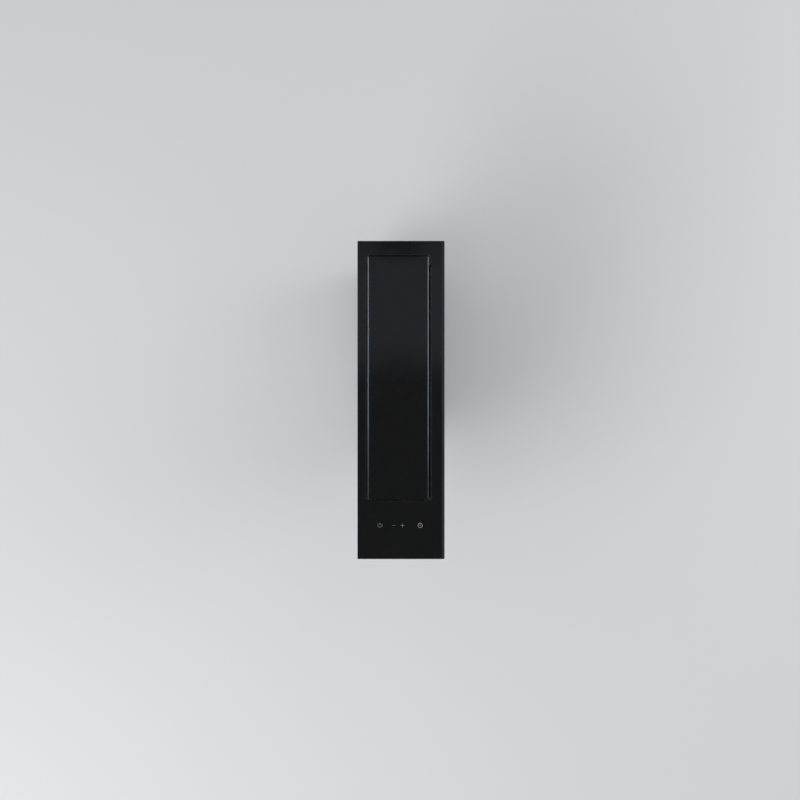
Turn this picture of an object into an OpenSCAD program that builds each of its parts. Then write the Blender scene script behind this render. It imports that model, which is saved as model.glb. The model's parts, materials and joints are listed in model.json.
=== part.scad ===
// Downdraft range hood module for a worktop, made to stand between two cooktops.
// A glass top lies on the worktop, and a glass flap in it tilts open over the air inlet.
// Air passes two baffle filters and a sloping plenum to a centrifugal blower below,
// and leaves through a round duct spigot with a two-leaf damper.
// X runs left to right, Y front to back and Z up, in millimetres. Z = 0 is the surface
// of the worktop, and the origin is the middle of the glass top's outline on it.

/* [Glass top] */
// Width of the air opening in the glass
opening_w = 106.3; // [104:0.1:107]
// Length of the air opening, front to back
opening_d = 401; // [390:1:404]
// Width of the glass left of the air opening
glass_left = 14.4; // [13.5:0.1:18]
// Width of the glass right of the air opening
glass_right = 21.7; // [16:0.1:24]
// Depth of the glass in front of the air opening
glass_front = 95.5; // [93:0.5:98]
// Depth of the glass behind the air opening
glass_behind = 23.5; // [22:0.5:28]
// Thickness of the glass top
glass_t = 6; // [5:0.5:7]
// Radius of the outer corners of the glass
glass_corner_r = 1.5; // [1.5:0.5:6]
// Width of the bevel along the right edge
bevel_w = 4.4; // [1:0.2:6]
// Depth of the bevel along the right edge
bevel_h = 1.4; // [1:0.2:3]
// Arris along the other three edges
arris = 0.6; // [0.3:0.1:1]
// Radius of the corners of the air opening
opening_corner_r = 4.5; // [3:0.5:7]
// Chamfer round the top edge of the air opening
opening_chamfer = 0.7; // [0.3:0.1:1.2]
// Thickness of the foam seal between glass and worktop
seal_t = 2; // [1.5:0.5:3]

/* [Flap] */
// Gap between the flap's left edge and the opening
flap_gap_left = 2.3; // [1.8:0.1:2.6]
// Gap between the flap's right edge and the opening
flap_gap_right = 4.1; // [1:0.1:5]
// Gap between the flap and the opening at the front and at the back
flap_gap_end = 1.8; // [1.6:0.2:4]
// Thickness of the flap's glass
flap_glass_t = 5; // [4:0.5:5.5]
// Width of the steel strip that shows along each long edge of the flap
trim_w = 1.8; // [0.8:0.1:2.4]
// Radius of the flap's corners
flap_corner_r = 2.5; // [2:0.5:4]
// Distance from the flap's left edge to its pivot
pivot_inset = 38; // [34:1:42]
// Depth of the pivot below the top of the glass
pivot_drop = 13.5; // [13:0.5:14]
// Angle that the flap opens
flap_travel = 70; // [50:5:72]
// Radius of the flap's pivot shaft
shaft_r = 3; // [2.5:0.1:3.2]

/* [Flap drive] */
// Size of the gear teeth, as the pitch diameter per tooth
gear_module = 0.8; // [0.7:0.05:0.9]
// Teeth of the whole flap gear, of which only an arc is made
gear_teeth = 56; // [52:4:60]
// Teeth of the motor's pinion
pinion_teeth = 14; // [14:1:16]
// Width of the flap gear
gear_w = 6; // [4:0.5:7]
// Radius of the gear motor's gearbox
gearbox_r = 16; // [14:0.5:16.5]
// Length of the gear motor's gearbox
gearbox_l = 14; // [10:1:16]

/* [Sheet metal housing] */
// Thickness of the housing's sheet
sheet_t = 1.2; // [1:0.1:1.5]
// Thickness of the carrier frame's sheet under the glass
carrier_t = 1.5; // [1.2:0.1:1.5]
// Height of the skirt that drops into the worktop's cut-out
skirt_h = 22; // [20:1:26]
// Height of the plenum under the filters, at the back
plenum_h = 66; // [60:1:80]
// Fall of the plenum's floor from the back to the drain
floor_fall = 12; // [8:1:16]
// Depth of the recess for the clamps at each end
clamp_recess = 14.6; // [14:0.2:16]
// Height of the drive box under the touch keys
drive_box_h = 78; // [72:1:82]

/* [Grease filters] */
// Height of a filter cassette
filter_h = 20; // [18:1:24]
// Distance from one baffle to the next
baffle_pitch = 18; // [16:1:20]
// Width of a baffle channel
baffle_w = 12; // [11:0.5:13]
// Thickness of the baffle sheet
baffle_t = 0.8; // [0.6:0.1:1]
// Height of a cassette's grip above it
grip_h = 6; // [5:0.5:8]

/* [Drip tray] */
// Depth of the tray's body below its rim
tray_depth = 42; // [34:1:46]
// Length of the tray, front to back
tray_l = 124; // [110:2:126]
// Thickness of the tray's wall
tray_wall = 2; // [1.6:0.1:2.6]
// Distance that the tray slides out
tray_travel = 120; // [60:10:120]

/* [Blower] */
// Place of the fan's axis, front to back
fan_y = 20; // [16:1:22]
// Diameter of the impeller
impeller_d = 160; // [150:2:162]
// Number of blades on the impeller
blade_count = 36; // [30:1:40]
// Thickness of a blade
blade_t = 1; // [0.8:0.1:1.4]
// Width of the volute, left to right
volute_w = 76; // [74:1:78]
// Thickness of the volute's wall
volute_wall = 2.2; // [1.8:0.1:2.6]
// Clearance between impeller and volute at the tongue
tongue_gap = 8; // [6:0.5:10]
// Growth of the volute's radius over a full turn
scroll_growth = 66; // [60:1:70]
// Length of the motor's rotor can
can_l = 44; // [40:1:46]
// Radius of the motor's rotor can
can_r = 46; // [44:0.5:47]
// Radius of the motor's shaft
motor_shaft_r = 4; // [3:0.5:4.5]

/* [Duct outlet] */
// Outer radius of the duct spigot
spigot_r = 62.25; // [60:0.25:62.5]
// Length of the duct spigot behind its flange
spigot_l = 48; // [46:1:50]
// Wall of the duct spigot
spigot_wall = 1.5; // [1.2:0.1:2]
// Length of the adapter from the volute to the spigot
adapter_l = 34; // [30:1:36]
// Angle that each damper leaf opens
damper_travel = 76; // [60:2:76]

/* [Clamps] */
// Reach of a clamp's arm from its screw
clamp_reach = 25; // [20:1:25]
// Width of a clamp's arm
clamp_w = 12; // [10:1:13]
// Distance of the clamps from the middle, left and right
clamp_x = 36; // [32:1:40]

/* [Hidden] */
$fn = 64;

// Clearances and small fixed sizes that several pieces share
touch = 0.01;        // how far a cut runs past a face
past = 20;           // how far a cut runs past a thick piece
fit = 0.15;          // sheet metal that slides into sheet metal
running = 0.06;      // a shaft in its bush
hole_play = 0.1;     // a screw or pin in its hole
seal_inset = 1;      // from the edge of the glass to the seal
seal_gap = 0.5;      // from the seal to the carrier's plate
plate_out = 0.8;     // from the skirt to the left edge of the carrier's plate
skirt_set = 17.75;   // from the front edge of the glass to the skirt
collar_gap = 1.5;    // from the edge of the opening to the collar under it
collar_h = 12;
bush_r = 4.4;
bush_flange_r = 5.7;
bush_flange_t = 1.5;
screw_r = 2;
screw_head_r = 3.8;
screw_head_h = 1.8;

// Heights of the stack, from the glass down to the filters
glass_top = seal_t + glass_t;
carrier_bottom = seal_t - carrier_t;
pivot_z = glass_top - pivot_drop;
flap_plate_t = 1.5;
flap_plate_top = glass_top - flap_glass_t;
flap_plate_bottom = flap_plate_top - flap_plate_t;
step_z = pivot_z - pivot_inset - 2;
filter_top = step_z - 2.5 - grip_h;
filter_bottom = filter_top - filter_h;
floor_back_z = filter_bottom - plenum_h;
floor_front_z = floor_back_z - floor_fall;

// Opening, flap and pivot in plan
glass_d = glass_front + opening_d + glass_behind;
glass_x0 = -opening_w / 2 - glass_left;
glass_x1 = opening_w / 2 + glass_right;
opening_y0 = -glass_d / 2 + glass_front;
opening_y1 = opening_y0 + opening_d;
opening_y = (opening_y0 + opening_y1) / 2;
flap_x0 = -opening_w / 2 + flap_gap_left;
flap_x1 = opening_w / 2 - flap_gap_right;
flap_w = flap_x1 - flap_x0;
flap_y0 = opening_y0 + flap_gap_end;
flap_y1 = opening_y1 - flap_gap_end;
pivot_x = flap_x0 + pivot_inset;
cheek_t = 2;
cheek_set = 6;       // from the flap's end to its cheek

// Walls of the housing
collar_x = opening_w / 2 + collar_gap;
box_in_x = collar_x + sheet_t + fit;
box_x = box_in_x + sheet_t;
body_x = box_x + fit + carrier_t;
seal_w = -glass_x0 - seal_inset - seal_gap - plate_out - body_x;
plate_inset = seal_inset + seal_w + seal_gap;
house_front = opening_y0 - collar_gap - sheet_t - fit - sheet_t;
house_back = opening_y1 + collar_gap + sheet_t + fit + sheet_t;
house_low_back = house_back - clamp_recess;
skirt_y0 = -glass_d / 2 + skirt_set;
skirt_y1 = house_back + fit + carrier_t;
slope_end = house_low_back - 46;
rear_chamfer = 28;
drive_front = skirt_y0 + clamp_recess + carrier_t;
drive_floor = -drive_box_h;

housing_profile = [
  [house_front, floor_front_z], [slope_end, floor_back_z],
  [house_low_back, floor_back_z + rear_chamfer], [house_low_back, step_z - 6],
  [house_back, step_z], [house_back, carrier_bottom], [house_front, carrier_bottom]];

// Flap drive
gear_rp = gear_module * gear_teeth / 2;
pinion_rp = gear_module * pinion_teeth / 2;
motor_z = pivot_z - gear_rp - pinion_rp;
gear_y1 = house_front - bush_flange_t - 0.4;
gear_y0 = gear_y1 - gear_w;
bracket_t = 2;
bracket_y = house_front - 18.4;                 // inner face of the bracket's plate
bracket_x = gear_rp + gear_module + 2.5;        // its legs stand clear of the gear
hub_r = 6.5;
pinion_bore_r = 2;

// Touch keys, from the middle of the opening: power, minus, plus, timer
key_x = [-30.6, -8.6, 6, 34.9];
key_set = 54.5;                                 // from the front edge of the glass
key_y = -glass_d / 2 + key_set;
board_t = 1.6;
holder_y0 = drive_front + sheet_t + 0.5;
holder_y1 = bracket_y - bracket_t - 1;
holder_x = 46;

// Blower
impeller_r = impeller_d / 2;
scroll_start = -20;                             // angle of the tongue below the fan's axis
scroll_r0 = impeller_r + tongue_gap;
volute_x1 = box_x - 4.5;
volute_x0 = volute_x1 - volute_w;
volute_lip = 2;
split_x = (volute_x0 + volute_x1) / 2;
outlet_y = fan_y + 140;
function scroll_r(a) = scroll_r0 + scroll_growth * (a - scroll_start) / 360;
function floor_z(y) = floor_front_z
  + (y - house_front) * (floor_back_z - floor_front_z) / (slope_end - house_front);
fan_z = floor_z(fan_y) - 1.5 - scroll_r(90) - volute_wall - volute_lip;
outlet_z0 = fan_z - scroll_r(270);
outlet_z1 = fan_z + scroll_r0 * sin(scroll_start);
inlet_r = impeller_r - 17;
chamber_x = volute_x0;
chamber_r = inlet_r + 20;
chamber_half = 60;

// Motor, along X: the can opens towards the right
can_wall = 3;
can_x1 = volute_x1 - 6;
can_x0 = can_x1 - can_l;
plate_gap = 3;                                  // height of the rubber mounts under the plate
motor_plate_x = volute_x1 + plate_gap;
motor_hole_r = can_r + 4;
motor_plate_r = 66;
mount_angles = [45, 135, 225, 315];
mount_r = motor_plate_r - 7;
bearing_r = 11;
bearing_w = 7;

// Duct outlet
spigot_z = fan_z - 76;
spigot_y = outlet_y + adapter_l;
spigot_flange_r = spigot_r + 5.5;
spigot_in_r = spigot_r - spigot_wall;
stop_t = 2.5;
damper_pin_r = 1.5;
leaf_t = 1.2;
knuckle_r = 3;
damper_y = spigot_y + stop_t + 0.3 + knuckle_r;
knuckle_w = 18;
knuckle_pitch = 19;
knuckle_end = 48;                               // the pin is free of the leaves past this

// Drip tray under the front of the plenum
rail_h = 13.6;
rail_lip = 1.2;
rail_x = box_x - 3;                             // outer face of the rails
tray_rim_z = floor_front_z - rail_h + 0.3;      // underside of the tray's rim
tray_rim_t = 2;
tray_rim_x = rail_x - sheet_t - 0.6;
tray_body_x = tray_rim_x - 4.5;
tray_y0 = drive_front + 2;
tray_y1 = tray_y0 + tray_l;

// Clamps
clamp_y_front = skirt_y0 + 8;
clamp_y_rear = skirt_y1 - 8;
clamp_flange_z = step_z - 8;
clamp_z = clamp_flange_z - 14;
clamp_t = 2;
clamp_tip = 14;
clamp_screw_r = 2.5;

// Screws of the skirt, along each side
frame_screw_y = [drive_front + 26, house_front + 38, opening_y, house_back - 22];
frame_screw_z = -15;
strap_y = [fan_y - 42, fan_y + 42];
strap_z = [floor_z(fan_y) + 14, fan_z + 74];

// Colours, as the photograph shows the top and as such a body is finished
black_glass = [0.05, 0.055, 0.06];
foam_grey = [0.16, 0.16, 0.17];
steel = [0.72, 0.73, 0.74];
bright_steel = [0.82, 0.83, 0.84];
black_steel = [0.1, 0.1, 0.11];
zinc = [0.66, 0.68, 0.7];
dark_plastic = [0.13, 0.13, 0.14];
grey_plastic = [0.35, 0.36, 0.38];
board_green = [0.08, 0.3, 0.18];
copper = [0.72, 0.4, 0.22];
white_nylon = [0.86, 0.86, 0.84];
rubber_black = [0.08, 0.08, 0.08];

// Shapes that several pieces use

// A box from its lowest corner to its highest
module block(lo, hi) translate(lo) cube(hi - lo);

// An outline in Y and Z, drawn out along X
module extrude_x(x0, x1) translate([x0, 0, 0]) rotate([90, 0, 90]) linear_extrude(x1 - x0) children();

// An outline in X and Z, drawn out along Y
module extrude_y(y0, y1) translate([0, y1, 0]) rotate([90, 0, 0]) linear_extrude(y1 - y0) children();

// Round bars along the three axes
module bar_x(r, x0, x1, y, z) translate([x0, y, z]) rotate([0, 90, 0]) cylinder(r = r, h = x1 - x0);
module bar_y(r, y0, y1, x, z) translate([x, y0, z]) rotate([-90, 0, 0]) cylinder(r = r, h = y1 - y0);
module bar_z(r, z0, z1, x, y) translate([x, y, z0]) cylinder(r = r, h = z1 - z0);

// A profile of radius and place, turned about an axis along X or along Y
module turn_x(y, z) translate([0, y, z]) rotate([0, 90, 0]) rotate_extrude() children();
module turn_y(x, z) translate([x, 0, z]) rotate([-90, 0, 0]) rotate_extrude() children();

// Corner points of a rectangle with round corners
function rounded(w, d, r, steps = 6) = [
  for (c = [[1, 1, 0], [-1, 1, 90], [-1, -1, 180], [1, -1, 270]])
    for (i = [0:steps])
      [c[0] * (w / 2 - r), c[1] * (d / 2 - r)]
      + r * [cos(c[2] + 90 * i / steps), sin(c[2] + 90 * i / steps)]];

// Moves every side of an outline inwards by t; its points run counter-clockwise
function inset(p, t) = let(n = len(p)) [
  for (i = [0:n - 1])
    let(a = p[(i + n - 1) % n], b = p[i], c = p[(i + 1) % n],
        u = (b - a) / norm(b - a), v = (c - b) / norm(c - b),
        nu = [-u[1], u[0]], nv = [-v[1], v[0]])
      b + t * (nu + nv) / (1 + nu * nv)];

// A flat slab of that outline, its middle at the given place
module rounded_slab(w, d, r, h) linear_extrude(h) polygon(rounded(w, d, r));

// A ring of sheet standing on edge: outer size, wall and height
module sheet_ring(w, d, r, wall, h)
  difference() {
    rounded_slab(w, d, r, h);
    translate([0, 0, -1]) rounded_slab(w - 2 * wall, d - 2 * wall, max(r - wall, 0.2), h + 2);
  }

// A pan-head screw with a cross recess, its head on the plane z = 0 and its shank below
module screw(r, l, head_r = screw_head_r, head_h = screw_head_h) {
  slot = head_r * 0.3;
  reach = head_r * 1.1;
  translate([0, 0, -l]) cylinder(r = r, h = l + touch);
  difference() {
    cylinder(r = head_r, h = head_h);
    for (a = [0, 90])
      rotate(a) translate([-reach / 2, -slot / 2, head_h * 0.45]) cube([reach, slot, head_h]);
  }
}
module screw_out_right(r, l) rotate([0, 90, 0]) screw(r, l);
module screw_out_left(r, l) rotate([0, -90, 0]) screw(r, l);
module screw_out_front(r, l) rotate([90, 0, 0]) screw(r, l);

// Spur gear outline: teeth number first to last, a tooth space in the middle of the count
function involute_lag(rb, r) = let(a = acos(min(1, rb / r))) tan(a) * 180 / PI - a;
function tooth_half(m, z, r) = let(rp = m * z / 2, rb = rp * cos(20))
  90 / z - 0.04 / rp * 180 / PI + involute_lag(rb, rp) - involute_lag(rb, max(r, rb));
function gear_teeth_points(m, z, first, last, shift) = [
  for (k = [first:last])
    let(c = shift + k * 360 / z, rp = m * z / 2, rb = rp * cos(20), tip = rp + 0.95 * m,
        root = rp - 1.2 * m, low = max(rb, root),
        rs = [root, low + 0.05, (low + rp) / 2, rp, (rp + tip) / 2, tip])
      for (side = [-1, 1])
        for (i = [0:5])
          let(r = rs[side < 0 ? i : 5 - i], a = c + side * tooth_half(m, z, r))
            r * [cos(a), sin(a)]];

// Glass top and what carries it

// The glass outline drawn in by t on every side
module glass_slab(t, r, h) translate([(glass_x0 + glass_x1) / 2, 0, 0])
  rounded_slab(glass_x1 - glass_x0 - 2 * t, glass_d - 2 * t, r, h);

module glass_frame() color(black_glass)
  difference() {
    intersection() {
      translate([0, 0, seal_t]) glass_slab(0, glass_corner_r, glass_t);
      extrude_y(-glass_d / 2 - 1, glass_d / 2 + 1)
        polygon([[glass_x0, seal_t], [glass_x1, seal_t], [glass_x1, glass_top - bevel_h],
          [glass_x1 - bevel_w, glass_top], [glass_x0 + arris, glass_top], [glass_x0, glass_top - arris]]);
      extrude_x(glass_x0 - 1, glass_x1 + 1)
        polygon([[-glass_d / 2, seal_t], [glass_d / 2, seal_t], [glass_d / 2, glass_top - arris],
          [glass_d / 2 - arris, glass_top], [-glass_d / 2 + arris, glass_top],
          [-glass_d / 2, glass_top - arris]]);
    }
    translate([0, opening_y, seal_t - 1])
      rounded_slab(opening_w, opening_d, opening_corner_r, glass_t + 2);
    translate([0, opening_y, 0]) opening_chamfer_cut();
  }

// The chamfer round the top edge of the opening
module opening_chamfer_cut()
  hull() {
    translate([0, 0, glass_top - opening_chamfer])
      rounded_slab(opening_w, opening_d, opening_corner_r, touch);
    translate([0, 0, glass_top + touch])
      rounded_slab(opening_w + 2 * opening_chamfer, opening_d + 2 * opening_chamfer,
        opening_corner_r + opening_chamfer, touch);
  }

module seal_strip() color(foam_grey)
  difference() {
    glass_slab(seal_inset, glass_corner_r, seal_t);
    translate([0, 0, -1]) glass_slab(seal_inset + seal_w, 1.5, seal_t + 2);
  }

// Black coated steel frame bonded under the glass: plate, skirt into the cut-out, collar round the inlet
module carrier_frame() color(black_steel) {
  skirt_mid = (skirt_y0 + skirt_y1) / 2;
  collar_d = opening_d + 2 * collar_gap + 2 * sheet_t;
  difference() {
    union() {
      difference() {
        translate([0, 0, carrier_bottom]) glass_slab(plate_inset, 3, carrier_t);
        translate([0, opening_y, carrier_bottom - 1])
          rounded_slab(2 * collar_x, opening_d + 2 * collar_gap, opening_corner_r, carrier_t + 2);
      }
      translate([0, skirt_mid, -skirt_h])
        sheet_ring(2 * body_x, skirt_y1 - skirt_y0, carrier_t + 0.2, carrier_t,
          skirt_h + carrier_bottom + touch);
      translate([0, opening_y, -collar_h])
        sheet_ring(2 * (collar_x + sheet_t), collar_d, opening_corner_r, sheet_t,
          collar_h + carrier_bottom + touch);
    }
    block([-holder_x - 0.5, holder_y0 - 0.5, -1], [holder_x + 0.5, house_front - 1.5, seal_t + 1]);
    block([pivot_x - bush_flange_r - 0.8, house_front, -collar_h - 1],
      [pivot_x + bush_flange_r + 0.8, opening_y0, carrier_bottom - touch]);
    block([pivot_x - bush_flange_r - 0.8, opening_y1, -collar_h - 1],
      [pivot_x + bush_flange_r + 0.8, house_back, carrier_bottom - touch]);
    for (y = frame_screw_y) bar_x(screw_r + hole_play, -body_x - 1, body_x + 1, y, frame_screw_z);
  }
}

// Touch keys under the front of the glass

module touch_board() color(board_green) {
  board_z = seal_t - 3.2;
  block([-holder_x + 2, holder_y0 + 2, board_z], [holder_x - 2, holder_y1 - 2, board_z + board_t]);
  for (x = key_x) bar_z(5, board_z + board_t - touch, seal_t - 0.1, x, key_y);
  block([14, holder_y0 + 4, board_z - 3.5], [30, holder_y0 + 10, board_z + touch]);
  for (x = [-24, -16, -8]) block([x, key_y - 4, board_z - 1.6], [x + 5, key_y + 1, board_z + touch]);
}

module touch_holder() color(dark_plastic) {
  floor_top = seal_t - 7.5;
  difference() {
    block([-holder_x, holder_y0, floor_top - 1.5], [holder_x, holder_y1, seal_t - 0.2]);
    block([-holder_x + 1.5, holder_y0 + 1.5, floor_top], [holder_x - 1.5, holder_y1 - 1.5, seal_t + 1]);
    for (x = [-30:12:30]) block([x - 3, holder_y0 + 8, floor_top - 3], [x + 3, holder_y1 - 8, floor_top + 1]);
  }
  for (x = [-holder_x + 6, holder_x - 6], y = [holder_y0 + 6, holder_y1 - 6])
    bar_z(2.5, floor_top - touch, seal_t - 3.2, x, y);
}

// Flap: glass in a steel tray, which turns on a shaft at the front and a pin at the back

module flap_outline(h) translate([(flap_x0 + flap_x1) / 2, (flap_y0 + flap_y1) / 2, 0])
  rounded_slab(flap_w, flap_y1 - flap_y0, flap_corner_r, h);

module flap_glass() color(black_glass)
  intersection() {
    translate([0, 0, flap_plate_top]) flap_outline(flap_glass_t);
    block([flap_x0 + trim_w, flap_y0 - 1, 0], [flap_x1 - trim_w, flap_y1 + 1, glass_top + 1]);
  }

module flap_cheek(y) {
  difference() {
    extrude_y(y, y + cheek_t)
      polygon([[pivot_x - 15, flap_plate_bottom + touch], [pivot_x - 7, pivot_z - 3],
        [pivot_x - 4.5, pivot_z - 6.5], [pivot_x + 4.5, pivot_z - 6.5], [pivot_x + 7, pivot_z - 3],
        [pivot_x + 15, flap_plate_bottom + touch]]);
    bar_y(shaft_r + 0.05, y - 1, y + cheek_t + 1, pivot_x, pivot_z);
  }
}

module flap_carrier() color(bright_steel) {
  lip_low = flap_plate_bottom - 5;
  translate([0, 0, flap_plate_bottom]) flap_outline(flap_plate_t);
  difference() {
    translate([0, 0, flap_plate_top - touch]) flap_outline(flap_glass_t + touch);
    block([flap_x0 + trim_w, flap_y0 - 1, 0], [flap_x1 - trim_w, flap_y1 + 1, glass_top + 1]);
  }
  for (x = [flap_x0 + 5, flap_x1 - 5 - sheet_t])
    block([x, flap_y0 + 12, lip_low], [x + sheet_t, flap_y1 - 12, flap_plate_bottom + touch]);
  flap_cheek(flap_y0 + cheek_set);
  flap_cheek(flap_y1 - cheek_set - cheek_t);
}

module flap_shaft() color(black_steel) {
  cheek_in = flap_y0 + cheek_set + cheek_t;
  bar_y(shaft_r, bracket_y - bracket_t - 0.5, cheek_in + 1, pivot_x, pivot_z);
  bar_y(5, cheek_in, cheek_in + 2, pivot_x, pivot_z);
}

module flap_rear_pin() color(black_steel) {
  cheek_in = flap_y1 - cheek_set - cheek_t;
  bar_y(shaft_r, cheek_in - 1, house_back - 0.4, pivot_x, pivot_z);
  bar_y(5, cheek_in - 2, cheek_in, pivot_x, pivot_z);
}

// The arc of teeth that turns the flap; a tooth space faces the pinion when the flap is shut
module flap_gear() color(white_nylon) {
  pitch_deg = 360 / gear_teeth;
  first = -ceil((flap_travel + 9) / pitch_deg);
  difference() {
    translate([pivot_x, 0, pivot_z]) extrude_y(gear_y0, gear_y1) {
      polygon(concat([[0, 0]], gear_teeth_points(gear_module, gear_teeth, first, 1, -90 + pitch_deg / 2)));
      circle(hub_r);
    }
    bar_y(shaft_r + 0.05, gear_y0 - 1, gear_y1 + 1, pivot_x, pivot_z);
    for (a = [-150, -125, -100])
      bar_y(3.2, gear_y0 - 1, gear_y1 + 1, pivot_x + 13.5 * cos(a), pivot_z + 13.5 * sin(a));
  }
}

// A flanged bush on the pivot axis: its body from y0 to y1, its flange from f0 to f1
module pivot_bush(y0, y1, f0, f1) color(white_nylon)
  difference() {
    union() {
      bar_y(bush_r, y0, y1, pivot_x, pivot_z);
      bar_y(bush_flange_r, f0, f1, pivot_x, pivot_z);
    }
    bar_y(shaft_r + running, min(y0, f0) - 1, max(y1, f1) + 1, pivot_x, pivot_z);
  }
module front_bush()
  pivot_bush(house_front - touch, house_front + sheet_t + 1.2, house_front - bush_flange_t, house_front);
module rear_bush()
  pivot_bush(house_back - sheet_t - touch, house_back,
    house_back - sheet_t - bush_flange_t, house_back - sheet_t);
module outboard_bush()
  pivot_bush(bracket_y - bracket_t, bracket_y + touch, bracket_y, bracket_y + bush_flange_t);

// Gear motor: gearbox with a boss in the bracket, motor can and two terminals
module gear_motor() color(steel) {
  face = bracket_y - bracket_t;
  can_end = max(face - gearbox_l - 19, drive_front + sheet_t + 1);
  bar_y(gearbox_r, face - gearbox_l, face, pivot_x, motor_z);
  bar_y(5, face - touch, bracket_y, pivot_x, motor_z);
  bar_y(pinion_bore_r, bracket_y - touch, gear_y1 - 0.5, pivot_x, motor_z);
  bar_y(gearbox_r - 3.5, can_end, face - gearbox_l + touch, pivot_x, motor_z);
  for (side = [-1, 1])
    block([pivot_x + side * 7 - 1.4, can_end - 0.6, motor_z - 1],
      [pivot_x + side * 7 + 1.4, can_end + 1, motor_z + 6]);
}

module drive_pinion() color(white_nylon)
  difference() {
    union() {
      translate([pivot_x, 0, motor_z]) extrude_y(gear_y0 - 0.5, gear_y1 + 0.3)
        polygon(gear_teeth_points(gear_module, pinion_teeth, 0, pinion_teeth - 1, 90));
      bar_y(pinion_rp - 1.5, gear_y0 - 5, gear_y0, pivot_x, motor_z);
    }
    bar_y(pinion_bore_r + 0.03, gear_y0 - 6, gear_y1 + 1, pivot_x, motor_z);
  }

// Folded bracket: a plate across the drive, with legs back to the housing's front wall
module motor_bracket() color(zinc) {
  low = motor_z - gearbox_r - 3;
  high = pivot_z + bush_flange_r - 0.4;
  difference() {
    block([pivot_x - bracket_x - 2, bracket_y - bracket_t, low], [pivot_x + bracket_x + 2, bracket_y, high]);
    bar_y(bush_r + 0.05, bracket_y - bracket_t - 1, bracket_y + 1, pivot_x, pivot_z);
    bar_y(5.1, bracket_y - bracket_t - 1, bracket_y + 1, pivot_x, motor_z);
  }
  for (side = [-1, 1]) {
    leg = pivot_x + side * (bracket_x + 1);
    block([leg - 1, bracket_y - touch, low], [leg + 1, house_front, low + 26]);
    foot = leg + side * 5;
    difference() {
      block([min(leg, foot + side), house_front - 1.5, low], [max(leg, foot + side), house_front, low + 26]);
      bar_y(1.6, house_front - 3, house_front + 1, foot - side, low + 13);
    }
  }
}

module limit_switch() color(dark_plastic) {
  x0 = pivot_x + bracket_x - 12.5;
  block([x0, bracket_y, pivot_z - 25], [x0 + 11, bracket_y + 6, pivot_z - 9]);
  block([x0 - 2.5, bracket_y + 2, pivot_z - 19], [x0 + touch, bracket_y + 4, pivot_z - 17.4]);
}

// Housing: a folded box with a sloping floor, a drain at its low end and a raised air outlet

air_x0 = -box_in_x + 3;
air_x1 = chamber_x - sheet_t - 3;
air_half = chamber_half - 6;
drain_y = house_front + 20;
drain_x = 12;
drain_r = 7;

module housing_solid(x, profile) extrude_x(-x, x) polygon(profile);

module air_lip()
  difference() {
    intersection() {
      block([air_x0 - sheet_t, fan_y - air_half - sheet_t, floor_front_z],
        [air_x1 + sheet_t, fan_y + air_half + sheet_t, floor_z(fan_y) + 14]);
      housing_solid(box_in_x, inset(housing_profile, sheet_t / 2));
    }
    block([air_x0, fan_y - air_half, floor_front_z - 1], [air_x1, fan_y + air_half, floor_z(fan_y) + 20]);
  }

// A long round bead pressed outwards in each side wall, drawn t inside its outer face
bead_r = 6;
bead_h = 1;
bead_z = (filter_bottom + floor_back_z) / 2;
bead_y = [house_front + 22, slope_end - 10];
module beads(t)
  for (side = [-1, 1]) {
    x = side * (box_x + bead_h - bead_r);
    bar_y(bead_r - t, bead_y[0], bead_y[1], x, bead_z);
    for (y = bead_y) translate([x, y, bead_z]) sphere(bead_r - t);
  }

module inlet_housing() color(zinc) {
  difference() {
    union() {
      housing_solid(box_x, housing_profile);
      beads(0);
    }
    housing_solid(box_in_x, inset(housing_profile, sheet_t));
    beads(sheet_t);
    block([-box_in_x, house_front + sheet_t, pivot_z], [box_in_x, house_back - sheet_t, 5]);
    bar_y(bush_r + 0.05, house_front - 1, house_front + sheet_t + 1, pivot_x, pivot_z);
    bar_y(bush_r + 0.05, house_back - sheet_t - 1, house_back + 1, pivot_x, pivot_z);
    block([air_x0, fan_y - air_half, floor_front_z - 5], [air_x1, fan_y + air_half, floor_z(fan_y) + 10]);
    bar_z(drain_r, floor_front_z - 5, floor_front_z + 10, drain_x, drain_y);
    for (i = [1:3]) bar_x(screw_r + hole_play, -box_x - 1, box_x + 1, frame_screw_y[i], frame_screw_z);
    for (y = strap_y) bar_x(screw_r + hole_play, 0, box_x + 1, y, strap_z[0]);
  }
  air_lip();
}

// Spout under the drain, above the tray
module drain_spout() color(grey_plastic)
  difference() {
    union() {
      bar_z(drain_r - 0.1, floor_front_z - 8, floor_z(drain_y) + 0.4, drain_x, drain_y);
      bar_z(drain_r + 3, floor_front_z - 3, floor_front_z, drain_x, drain_y);
    }
    bar_z(drain_r - 2, floor_front_z - 9, floor_front_z + 10, drain_x, drain_y);
  }

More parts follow.
